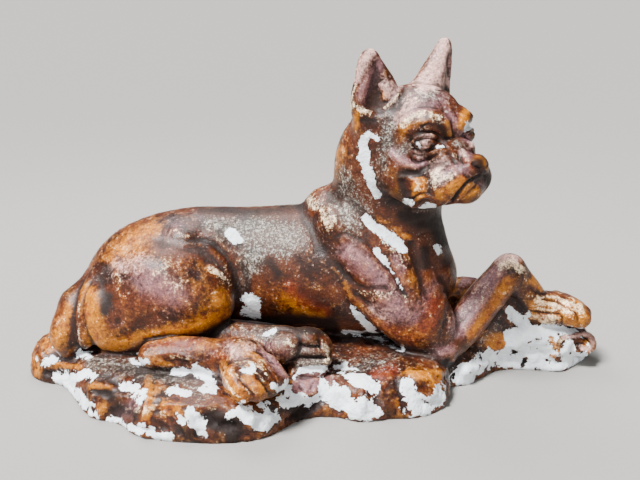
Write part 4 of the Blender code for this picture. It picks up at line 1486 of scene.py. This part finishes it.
        (0.25, (382, 62, 4), (373, 74, 4), (364, 87, 4), (357, 98, 3)), (0.8, (362, 121, 5), (374, 120, 4)),
        (0.5, (352, 130, 4)), (0.6, (374, 104, 4), (378, 98, 4)),
        (0.35, (450, 56, 3), (449, 72, 3), (452, 86, 3)), (0.9, (437, 122, 5), (444, 130, 5), (446, 140, 4)),
        (0.9, (432, 146, 3)), (0.4, (461, 134, 3)), (1, (400, 177, 8), (403, 190, 9), (409, 198, 6)),
        (0.6, (394, 200, 5)), (0.9, (408, 172, 4), (420, 173, 3)),
        (1.2, (476, 164, 6), (487, 178, 6), (489, 184, 5)), (0.5, (482, 160, 5)),
        (1, (452, 201, 1.8), (466, 184, 1.8), (479, 176, 2)), (0.7, (458, 203, 5), (474, 199, 5)),
        (1.1, (404, 216, 10), (420, 220, 14), (436, 222, 14), (442, 240, 11)),
        (0.35, (416, 262, 10), (428, 290, 10)), (0.8, (446, 262, 7)),
        (1.2, (250, 320, 6), (290, 322, 8), (330, 328, 8)),
        (0.75, (200, 210, 6), (240, 211, 6), (280, 210, 7), (300, 207, 7)),
        (0.5, (338, 172, 8), (340, 190, 7)), (0.45, (356, 200, 8), (352, 180, 5)),
        (0.25, (352, 262, 12), (372, 268, 10)), (0.3, (490, 300, 14), (478, 322, 12)), (0.3, (462, 212, 4)),
        (1.2, (424, 250, 6), (426, 264, 6)), (0.9, (270, 262, 8), (278, 274, 7)), (0.4, (262, 300, 6)),
        (0.7, (300, 290, 8), (320, 302, 10)), (0.9, (330, 326, 8), (300, 328, 8)),
        (1.1, (107, 298, 9), (104, 312, 6)), (0.3, (118, 335, 5)), (0.8, (214, 328, 6), (232, 322, 5)),
        (0.6, (236, 270, 4), (238, 300, 4)), (1.6, (215, 420, 12), (235, 426, 10), (232, 436, 8)),
        (1.5, (300, 412, 10), (312, 404, 7)), (0.8, (390, 410, 12)), (1.2, (46, 376, 6), (58, 378, 4)),
        (1, (100, 392, 5), (110, 393, 4)), (0.8, (112, 398, 8), (124, 412, 12), (136, 414, 8)),
        (0.7, (176, 428, 8), (190, 434, 8)), (0.8, (286, 392, 5)), (0.4, (150, 372, 8), (120, 370, 8)),
        (0.9, (455, 372, 6), (462, 385, 4)), (0.7, (478, 352, 5), (460, 345, 5)), (0.8, (505, 330, 5)),
        (1.2, (400, 288, 3), (406, 296, 3)),
    ),
    Coat.RED: (
        (0.7, (372, 318, 6), (390, 330, 8), (412, 338, 9), (432, 325, 9), (440, 300, 8)),
        (1, (290, 288, 9), (306, 300, 10), (324, 312, 8)), (0.4, (425, 272, 7), (420, 250, 6)),
        (1, (400, 182, 7), (406, 192, 6)), (0.9, (472, 164, 6), (486, 172, 5)), (0.9, (444, 128, 5)),
        (0.6, (466, 118, 5)), (0.8, (450, 203, 4), (464, 200, 6)),
        (0.9, (508, 280, 6), (498, 298, 6), (486, 316, 6), (474, 334, 6)),
        (0.35, (348, 262, 12), (372, 276, 12)), (0.35, (130, 300, 20), (180, 300, 20)),
        (1, (160, 346, 8), (185, 346, 8), (200, 345, 6)), (0.45, (430, 300, 10), (424, 324, 10)),
        (0.7, (222, 356, 6)), (0.9, (375, 376, 9), (390, 370, 9)), (0.6, (160, 384, 6)),
        (0.5, (128, 380, 4)), (0.9, (300, 408, 8)), (0.7, (396, 408, 8)),
    ),
}


@dataclass(frozen=True)
class Coats:
    """Works out each coat's amount at each point of the skin.

    Pairs of numbers are the heights, in cells, between which a band fades.
    """

    view: PhotoView
    cells_per_pixel: float = 0.72
    share_seen: float = 0.12
    rock_top: Sequence[float] = (26.0, 34.0)
    rock_colour_top: Sequence[float] = (24.0, 34.0)
    worn_top: Sequence[float] = (30.0, 40.0)
    legs_top: Sequence[float] = (62.0, 92.0)
    back: Sequence[float] = (80.0, 130.0)
    ears: Sequence[float] = (222.0, 240.0)
    broad_pitch: float = 130.0
    other_pitch: float = 90.0
    worn_pitch: float = 64.0
    ragged_pitch: float = 17.0
    deepest_on_rock: float = 3.3
    deeper_on_dog: float = 6.0

    def lay(self, skin: Skin) -> dict[str, np.ndarray]:
        """The coats' amounts.

        On the seen side they follow the photo's patches, and elsewhere the
        same rule goes on by height and in broad waves.

        Args:
            skin: The skin.

        Returns:
            Arrays by the coats' names.
        """
        normal = skin.normals()
        pixel, _ = self.view.seen_at(skin.points)
        seen = self.view.shown(skin, normal)
        coats = {}
        for coat, amount in self.elsewhere(skin.points, normal).items():
            painted = sum(Touch(line, strength).amount(pixel) for strength, *line in TOUCHES[coat])
            laid = seen * (painted + self.share_seen * amount) + (1.0 - seen) * amount
            coats[coat.value] = np.clip(laid, 0.0, 1.0)
        coats[Coat.FLAKE.value] = self.flaked(skin.points, pixel, seen)
        coats[Coat.ROCK.value] = 1.0 - smoothstep(skin.points[:, 2], *self.rock_colour_top)
        coats[Coat.HOLLOW.value] = self.hollowness(skin, normal)
        return coats

    def elsewhere(self, points: np.ndarray, normal: np.ndarray) -> dict[Coat, np.ndarray]:
        """The coats as they lie on the sides that the photo doesn't show.

        Two broad waves, from 0 to 1, share out amber, red and the mauve painted
        sheen; dust lies on top, the ears' tips are rose, and the rest follows height.

        Args:
            points: Points in cells.
            normal: Their normals.

        Returns:
            Arrays by coat.
        """
        z, up = points[:, 2], np.clip(normal[:, 2], 0, 1)
        rock = 1.0 - smoothstep(z, *self.rock_top)
        low = (1.0 - rock) * (1.0 - smoothstep(z, *self.legs_top))
        wave = 0.5 + 0.5 * ripple(points, self.broad_pitch, 5.0)
        other = 0.5 + 0.5 * ripple(points, self.other_pitch, 10.0)
        return {
            Coat.AMBER: 0.6 * smoothstep(2.2 * wave * other + 0.25 * low + 0.2 * rock, 0.35, 1.5),
            Coat.RED: 0.7 * other * (1.0 - wave) + 0.2 * rock * other,
            Coat.MAUVE: 0.6 * smoothstep(1.0 - wave, 0.3, 1.0),
            Coat.DUST: 0.75 * smoothstep(z, *self.back) * wave + 0.4 * up * other,
            Coat.PINK: 0.7 * smoothstep(z, *self.ears),
            Coat.DARK: 0.5 * (1.0 - other) + 0.4 * rock * (1.0 - wave),
            Coat.CREAM: 0.15 * wave,
        }

    def flaked(self, points: np.ndarray, pixel: np.ndarray, seen: np.ndarray) -> np.ndarray:
        """How far inside a flake each point is.

        On the seen side that is the deepest of the flakes less the islands,
        and elsewhere ripples wear the rock's edges.

        Args:
            points: Points in cells.
            pixel: The same in the picture.
            seen: How plainly each is seen.

        Returns:
            The depth over the flakes' span, from -1 to 1.
        """
        inside = np.full(len(points), -FAR)
        for line in FLAKES.values():
            inside = np.maximum(inside, Flake(line).depth(pixel))
        for line in ISLANDS.values():
            inside = np.minimum(inside, -Flake(line).depth(pixel))
        z = points[:, 2]
        inside = np.where(seen > 0.05, inside * self.cells_per_pixel, -FAR)
        inside = np.minimum(inside, self.deepest_on_rock + self.deeper_on_dog * smoothstep(z, *self.rock_top))
        worn = 9.0 * ripple(points, self.worn_pitch, 6.0) + 3.0 * ripple(points, self.ragged_pitch, 7.0) - 5.0
        worn -= 8.0 * smoothstep(z, *self.worn_top)
        inside = np.maximum(inside, np.where(seen < 0.4, worn, -FAR))
        return np.clip(inside, -FLAKE_SPAN, FLAKE_SPAN) / FLAKE_SPAN

    @staticmethod
    def hollowness(skin: Skin, normal: np.ndarray) -> np.ndarray:
        """How hollow (1) or proud (-1) each place is.

        The skin's points are smoothed by repeated averaging, and the shift
        along the normal tells hollows, which rise, from edges, which sink.

        Args:
            skin: The skin.
            normal: Its normals.

        Returns:
            One value for each point.
        """
        smooth = skin.points
        total = np.zeros(len(smooth))
        for rounds, weight in ((2, 2.2), (6, 0.9), (16, 0.35)):
            for _ in range(rounds):
                smooth = skin.averaged(smooth)
            total += weight * ((smooth - skin.points) * normal).sum(1)
        return np.clip(total, -1.0, 1.0)


# Shaders


class Wire:
    """A shader socket that can be calculated with."""

    def __init__(self, bench: "Bench", socket: Any) -> None:
        """Wrap a socket of the bench's tree."""
        self.bench = bench
        self.socket = socket

    def maths(self, operation: str, *values: Any) -> "Wire":
        """A Math node on the given values."""
        node = self.bench.node("ShaderNodeMath", {"operation": operation}, dict(enumerate(values)))
        return Wire(self.bench, node.outputs[0])

    def __add__(self, other: Any) -> "Wire":
        """self + other."""
        return self.maths("ADD", self, other)

    __radd__ = __add__

    def __sub__(self, other: Any) -> "Wire":
        """self - other."""
        return self.maths("SUBTRACT", self, other)

    def __rsub__(self, other: Any) -> "Wire":
        """other - self."""
        return self.maths("SUBTRACT", other, self)

    def __mul__(self, other: Any) -> "Wire":
        """self * other."""
        return self.maths("MULTIPLY", self, other)

    __rmul__ = __mul__

    def held(self) -> "Wire":
        """Kept between 0 and 1."""
        return self.maths("MINIMUM", self.maths("MAXIMUM", self, 0.0), 1.0)

    def rise(self, low: float, high: float) -> "Wire":
        """0 below low, 1 above high, and an S-shaped rise between."""
        node = self.bench.node("ShaderNodeMapRange", {"interpolation_type": "SMOOTHSTEP"},
                               {"Value": self, "From Min": low, "From Max": high})
        return Wire(self.bench, node.outputs["Result"])


class Bench:
    """A material's node tree, built node by node."""

    def __init__(self, name: str) -> None:
        """Make a material with a Principled shader.

        Args:
            name: The material's name.
        """
        self.material = bpy.data.materials.new(name)
        self.material.use_nodes = True
        self.tree = self.material.node_tree
        self.shader = self.tree.nodes["Principled BSDF"]

    def node(self, kind: str, settings: dict[str, Any], inputs: dict[Any, Any]) -> Any:
        """Add a node.

        Args:
            kind: The node's type.
            settings: Properties set first.
            inputs: Values or links, by socket name or number.

        Returns:
            The node.
        """
        node = self.tree.nodes.new(kind)
        for key, value in settings.items():
            setattr(node, key, value)
        for key, value in inputs.items():
            self.plug(node.inputs[key], value)
        return node

    def plug(self, socket: Any, value: Any) -> None:
        """Link a wire to a socket, or set its value.

        Args:
            socket: The socket.
            value: A wire, a number or a colour.
        """
        if isinstance(value, Wire):
            self.tree.links.new(value.socket, socket)
        else:
            socket.default_value = value

    def coat(self, coat: Coat) -> Wire:
        """A coat's number at each point of the mesh."""
        node = self.node("ShaderNodeAttribute", {"attribute_name": coat.value}, {})
        return Wire(self, node.outputs["Fac"])

    def noise(self, size: float, detail: float, rough: float, shift: float = 0.0) -> Wire:
        """Noise about 0.5, on Object coordinates.

        Args:
            size: Size of its patches in metres.
            detail: How many finer layers it has.
            rough: How strong they are.
            shift: Moves the pattern.

        Returns:
            The noise.
        """
        where = Wire(self, self.node("ShaderNodeTexCoord", {}, {}).outputs["Object"])
        moved = self.node("ShaderNodeVectorMath", {"operation": "ADD"}, {0: where, 1: (shift,) * 3})
        inputs = {"Vector": Wire(self, moved.outputs[0]), "Scale": 1.0 / size}
        inputs |= {"Detail": detail, "Roughness": rough}
        return Wire(self, self.node("ShaderNodeTexNoise", {}, inputs).outputs["Fac"])

    def mixed(self, amount: Any, first: Any, second: Any) -> Wire:
        """A colour between two.

        Args:
            amount: 0 for the first, 1 for the second.
            first: A colour.
            second: Another one.

        Returns:
            The colour between.
        """
        node = self.node("ShaderNodeMix", {"data_type": "RGBA"}, {})
        self.plug(node.inputs[0], amount)
        self.plug(node.inputs[6], first)
        self.plug(node.inputs[7], second)
        return Wire(self, node.outputs[2])

    def scaled(self, colour: Any, amount: Any) -> Wire:
        """A colour made lighter or darker by a factor."""
        node = self.node("ShaderNodeVectorMath", {"operation": "SCALE"}, {0: colour, "Scale": amount})
        return Wire(self, node.outputs[0])


def sheet_colour(code: str) -> tuple[float, float, float, float]:
    """A colour from its six-digit screen code, in linear light."""
    levels = [int(code[k:k + 2], 16) / 255 for k in (0, 2, 4)]
    return (*[v / 12.92 if v < 0.04045 else ((v + 0.055) / 1.055) ** 2.4 for v in levels], 1.0)


class Speckle:
    """Noise of four sizes that breaks the coats up."""

    def __init__(self, bench: Bench) -> None:
        """Add the noises, all about zero but the broad one.

        Args:
            bench: The bench to build on.
        """
        self.grain = bench.noise(0.0011, detail=3.0, rough=0.6, shift=5.0) - 0.5
        self.fine = bench.noise(0.0022, detail=4.0, rough=0.65) - 0.5
        self.small = bench.noise(0.006, detail=4.0, rough=0.6, shift=3.0) - 0.5
        self.broad = bench.noise(0.022, detail=4.0, rough=0.6, shift=7.0)


@dataclass(frozen=True)
class Film:
    """How one coat lies: its colour, its cover, and how noise breaks it up.

    Its amount is raised from 0 at low to 1 at high, after small and fine
    noise are added in the given strengths.
    """

    colour: str
    cover: float
    small: float
    fine: float
    low: float
    high: float

    def broken(self, amount: Wire, speckle: Speckle) -> Wire:
        """The amount, broken up by the noise."""
        return (amount + speckle.small * self.small + speckle.fine * self.fine).rise(self.low, self.high)

    def over(self, under: Wire, amount: Wire) -> Wire:
        """The film's colour laid over another, by its amount."""
        return under.bench.mixed(amount * self.cover, under, sheet_colour(self.colour))


@dataclass(frozen=True)
class WornStain:
    """Brown stain and varnish on plaster, dusty, worn and flaked, with painted sheen, highlights and shade.
    """

    brown: str = "4E2410"
    deep: str = "28120B"
    orange: str = "9A4C1A"
    plaster: str = "F6FBFF"
    plaster_shade: str = "E2E7EC"
    # painted sheen: the sky's mauve reflection on the varnish
    mauve: Film = Film("8A6266", 0.85, 0.7, 1.0, 0.1, 1.2)
    red: Film = Film("6C2814", 0.9, 0.7, 0.6, 0.1, 1.1)
    amber: Film = Film("B46C00", 0.8, 1.3, 0.8, 0.15, 1.25)
    dust: Film = Film("524C44", 0.75, 1.2, 2.2, 0.1, 1.4)
    haze: Film = Film("AFACA3", 0.55, 1.4, 2.6, 0.42, 1.15)
    # rose tint and painted highlights
    rose_and_highlight: Film = Film("C69C92", 0.85, 0.7, 1.5, 0.15, 1.1)
    # dark stain and painted shade
    dark: Film = Film("120603", 0.97, 0.8, 0.6, 0.15, 1.1)
    # painted shade in hollows and creases
    crevice_shade: Film = Film("120603", 0.75, 0.6, 0.0, 0.08, 1.0)
    # worn cream edges and painted highlights
    cream: Film = Film("F2DAB4", 0.7, 1.4, 1.6, 0.6, 1.3)
    gloss: float = 0.34
    chalk_roughness: float = 0.85
    specular: float = 0.3
    stain_thickness: float = 0.45
    bump_metres: float = 0.0009

    def dress(self) -> bpy.types.Material:
        """Build the material.

        Returns:
            The material.
        """
        bench = Bench("worn_stain")
        speckle = Speckle(bench)
        colour, roughness = self.stained(bench, speckle)
        fine, small = speckle.fine, speckle.small
        bare = self.flaked(bench)
        chalks = sheet_colour(self.plaster_shade), sheet_colour(self.plaster)
        chalk = bench.mixed((small + 0.5).rise(0.3, 0.7), *chalks)
        bench.plug(bench.shader.inputs["Base Color"], bench.mixed(bare, colour, chalk))
        bench.plug(bench.shader.inputs["Specular IOR Level"], self.specular)
        roughness = (roughness * (1.0 - bare) + bare * self.chalk_roughness).held()
        bench.plug(bench.shader.inputs["Roughness"], roughness)
        height = (1.0 - bare) * self.stain_thickness + fine * 0.4 + small * 0.4 + speckle.grain * 0.2
        height = height + bare * (fine * 0.9 + small * 0.9)
        inputs = {"Strength": 1.0, "Distance": self.bump_metres, "Height": height}
        bump = bench.node("ShaderNodeBump", {}, inputs)
        bench.plug(bench.shader.inputs["Normal"], Wire(bench, bump.outputs["Normal"]))
        bench.material.diffuse_color = sheet_colour(self.brown)
        return bench.material

    def stained(self, bench: Bench, speckle: Speckle) -> tuple[Wire, Wire]:
        """The stain's colour and roughness.

        It starts brown, is mottled, and takes the films in turn: among them a
        mauve painted sheen, rose with painted highlights, and dark stain with
        painted shade.  Hollows get painted shade, proud edges wear to cream and
        take painted highlights, and noise makes all of it lighter and darker.

        Args:
            bench: The bench to build on.
            speckle: Its noises.

        Returns:
            The colour, and the roughness.
        """
        fine, small = speckle.fine, speckle.small
        hollow, dusty = bench.coat(Coat.HOLLOW), bench.coat(Coat.DUST)
        colour = bench.mixed(speckle.broad.rise(0.38, 0.6), sheet_colour(self.deep), sheet_colour(self.brown))
        # painted sheen: the mauve reflection laid over the stain
        mauve = self.mauve.broken(bench.coat(Coat.MAUVE), speckle)
        colour = self.mauve.over(colour, mauve)
        colour = self.red.over(colour, self.red.broken(bench.coat(Coat.RED), speckle))
        amber = self.amber.broken(bench.coat(Coat.AMBER) * 1.1 - hollow * 0.3, speckle)
        tones = sheet_colour(self.orange), sheet_colour(self.amber.colour)
        tone = bench.mixed((small + 0.5).rise(0.3, 0.54), *tones)
        colour = bench.mixed(amber * self.amber.cover, colour, tone)
        dust = self.dust.broken(dusty, speckle)
        colour = self.dust.over(colour, dust)
        colour = self.haze.over(colour, self.haze.broken(dusty * 0.6 + speckle.grain * 2.6, speckle))
        # rose tint and painted highlights
        rose_and_highlight = self.rose_and_highlight.broken(bench.coat(Coat.PINK), speckle)
        colour = self.rose_and_highlight.over(colour, rose_and_highlight)
        # painted shade and dark stain: shadows under forms and in creases
        dark = self.dark.broken(bench.coat(Coat.DARK), speckle)
        colour = self.dark.over(colour, dark)
        # painted shade: hollows and creases darkened
        colour = self.crevice_shade.over(colour, self.crevice_shade.broken(hollow, speckle))
        # worn edges and painted highlights: lighter on proud edges, less in hollows
        light = bench.coat(Coat.CREAM) * 0.78 + dusty * 0.18 - bench.coat(Coat.ROCK) * 0.2 - 0.06
        wear_and_highlight = self.cream.broken(light - hollow * 0.35 + speckle.grain * 1.4, speckle)
        colour = self.cream.over(colour, wear_and_highlight)
        colour = bench.scaled(colour, 1.0 + fine * 2.1 + speckle.grain * 1.8 + small * 1.2)
        films = 0.3 * dust + 0.3 * rose_and_highlight + 0.1 * mauve + 0.2 * wear_and_highlight + 0.3 * dark
        return colour, self.gloss + films + 0.3 * small + 0.2 * hollow.held()

    def flaked(self, bench: Bench) -> Wire:
        """Where bare plaster shows; noise makes its edges ragged.

        Args:
            bench: The bench to build on.

        Returns:
            1 inside the flakes, 0 outside.
        """
        depth = 8.0 + bench.coat(Coat.ROCK) * 12.0
        pits = (bench.noise(0.008, detail=3.0, rough=0.6, shift=11.0) - 0.5) * depth
        crumbs = (bench.noise(0.0022, detail=3.0, rough=0.65, shift=13.0) - 0.5) * 5.0
        return (bench.coat(Coat.FLAKE) * FLAKE_SPAN + pits + crumbs).rise(-0.2, 0.2)


# The figurine as one piece


@dataclass
class Figurine:
    """The cast's visible surface."""

    dog: Dog = field(default_factory=Dog)
    view: PhotoView = field(default_factory=PhotoView)
    stain: WornStain = field(default_factory=WornStain)
    grid_steps: Sequence[float] = (9.6, 4.8, 2.4)
    face_edge: float = 0.95
    head_edge: float = 1.8
    paw_edge: float = 1.8
    body_edge: float = 3.0
    hidden_edge: float = 3.5
    under_edge: float = 6.0
    near_side: float = 20.0
    paw_reach: float = 34.0
    head_reach: float = 80.0
    head_side: float = 12.0
    face_middle: Sequence[float] = (34, 0, -6)
    face_reach: float = 42.0

    def edge_wanted(self, points: np.ndarray) -> np.ndarray:
        """Edge length wanted at points: fine on the face and paws, coarse behind.

        Args:
            points: Points in cells.

        Returns:
            One length for each point, in cells.
        """
        local = (points - np.array(self.dog.head.place)) @ self.dog.head.axes()
        above = points[:, 2] > 0.5
        length = np.where(points[:, 1] < self.near_side, self.body_edge, self.hidden_edge)
        length = np.where(above, length, self.under_edge)
        hind, fore = self.dog.hind, self.dog.fore
        for place in (hind.near_paw.place, fore.near_paw.place, fore.far_paw.place, hind.sole[:3]):
            close = np.linalg.norm(points - np.array(place), axis=1) < self.paw_reach
            length = np.where(close & above, self.paw_edge, length)
        on_head = (np.linalg.norm(local, axis=1) < self.head_reach) & (local[:, 1] < self.head_side)
        length = np.where(on_head, self.head_edge, length)
        face = np.linalg.norm(local - self.face_middle, axis=1) < self.face_reach
        return np.where(face, self.face_edge, length)

    def make(self) -> bpy.types.Object:
        """Shape, tool and dress the piece.

        Returns:
            The finished object.
        """
        skin = Skin.drawn(self.dog, self.grid_steps)
        LOG.info("skin drawn: %d triangles", len(skin.triangles))
        skin.settle(self.dog, 1)
        skin.refine(self.edge_wanted, 3)
        skin.settle(self.dog, 2)
        LOG.info("skin refined: %d triangles", len(skin.triangles))
        Carver(self.view, self.dog.head).work(skin)
        coats = Coats(self.view).lay(skin)
        LOG.info("coats laid: %s", ", ".join(sorted(coats)))
        return self.dressed(skin, coats)

    def dressed(self, skin: Skin, coats: dict[str, np.ndarray]) -> bpy.types.Object:
        """Make the skin an object with its coats and material.

        Its points are set in metres about the middle, and kept inside the
        CAD's box.

        Args:
            skin: The skin, in cells.
            coats: A number for each point, by attribute.

        Returns:
            The object.
        """
        low, high = (np.array(side, float) for side in CAD_BOX)
        places = np.clip((skin.points - MIDDLE) * GRID, low, high)
        mesh = bpy.data.meshes.new("dog_cast")
        mesh.from_pydata(places, [], skin.triangles)
        mesh.shade_smooth()
        for name, amount in coats.items():
            layer = mesh.attributes.new(name, "FLOAT", "POINT")
            layer.data.foreach_set("value", amount.astype(np.float32))
        piece = bpy.data.objects.new("dog_cast", mesh)
        bpy.context.scene.collection.objects.link(piece)
        mesh.materials.append(self.stain.dress())
        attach(piece, "root")
        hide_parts("dog_figurine")
        return piece


class LampKind(Enum):
    """Kinds of light, and what the size of each is called."""

    SUN = "angle"
    AREA = "size"


@dataclass(frozen=True)
class Lamp:
    """A light: a sun's size is its angle in radians, a panel's its width in metres."""

    name: str
    kind: LampKind
    place: Sequence[float]
    aim: Sequence[float]
    size: float
    power: float

    def hang(self) -> None:
        """Hang the light at its place, turned to its aim.

        The turn about x is the angle between the way down and the aim, and
        the turn about z the aim's bearing.
        """
        data = bpy.data.lights.new(self.name, self.kind.name)
        setattr(data, self.kind.value, self.size)
        data.energy = self.power
        light = bpy.data.objects.new(self.name, data)
        way = np.array(self.aim, float) - np.array(self.place, float)
        way /= np.linalg.norm(way)
        light.location = self.place
        light.rotation_euler = (math.acos(-way[2]), 0.0, math.atan2(-way[0], way[1]))
        bpy.context.scene.collection.objects.link(light)


@dataclass(frozen=True)
class Studio:
    """Plain pale floor and soft light."""

    floor_half: float = 60.0
    floor_colour: str = "908E8A"
    floor_roughness: float = 0.85
    floor_specular: float = 0.3
    sky_colour: str = "E9EBEE"
    sky_strength: float = 0.18
    lamps: Sequence[Lamp] = (
        Lamp("key_sun", LampKind.SUN, (-0.50, -0.42, 1.00), (0.0, 0.0, 0.0), math.radians(14.0), 13.0),
        Lamp("front_sun", LampKind.SUN, (-0.10, -1.00, 0.45), (0.0, 0.0, 0.0), math.radians(50.0), 1.6),
        Lamp("top_light", LampKind.AREA, (-0.20, 0.35, 0.90), (0.0, 0.0, 0.10), 0.5, 10.0),
    )

    def make(self) -> None:
        """Lay the floor, hang the lamps and set the sky."""
        self.lay_floor()
        for lamp in self.lamps:
            lamp.hang()
        world = bpy.data.worlds.new("studio")
        world.use_nodes = True
        sky = world.node_tree.nodes["Background"]
        sky.inputs["Color"].default_value = sheet_colour(self.sky_colour)
        sky.inputs["Strength"].default_value = self.sky_strength
        bpy.context.scene.world = world

    def lay_floor(self) -> None:
        """Lay a square floor at height 0."""
        h = self.floor_half
        mesh = bpy.data.meshes.new("floor")
        mesh.from_pydata([(-h, -h, 0), (h, -h, 0), (h, h, 0), (-h, h, 0)], [], [(0, 1, 2, 3)])
        floor = bpy.data.objects.new("floor", mesh)
        bpy.context.scene.collection.objects.link(floor)
        bench = Bench("pale_floor")
        bench.plug(bench.shader.inputs["Base Color"], sheet_colour(self.floor_colour))
        bench.plug(bench.shader.inputs["Specular IOR Level"], self.floor_specular)
        bench.plug(bench.shader.inputs["Roughness"], self.floor_roughness)
        mesh.materials.append(bench.material)


def main() -> None:
    """Build the figurine, the studio and the camera."""
    logging.basicConfig(level=logging.INFO, format="%(name)s: %(message)s")
    figurine = Figurine()
    piece = figurine.make()
    LOG.info("%s: %d triangles", piece.name, len(piece.data.polygons))
    Studio().make()
    figurine.view.make_camera()


if __name__ == "__main__":
    main()
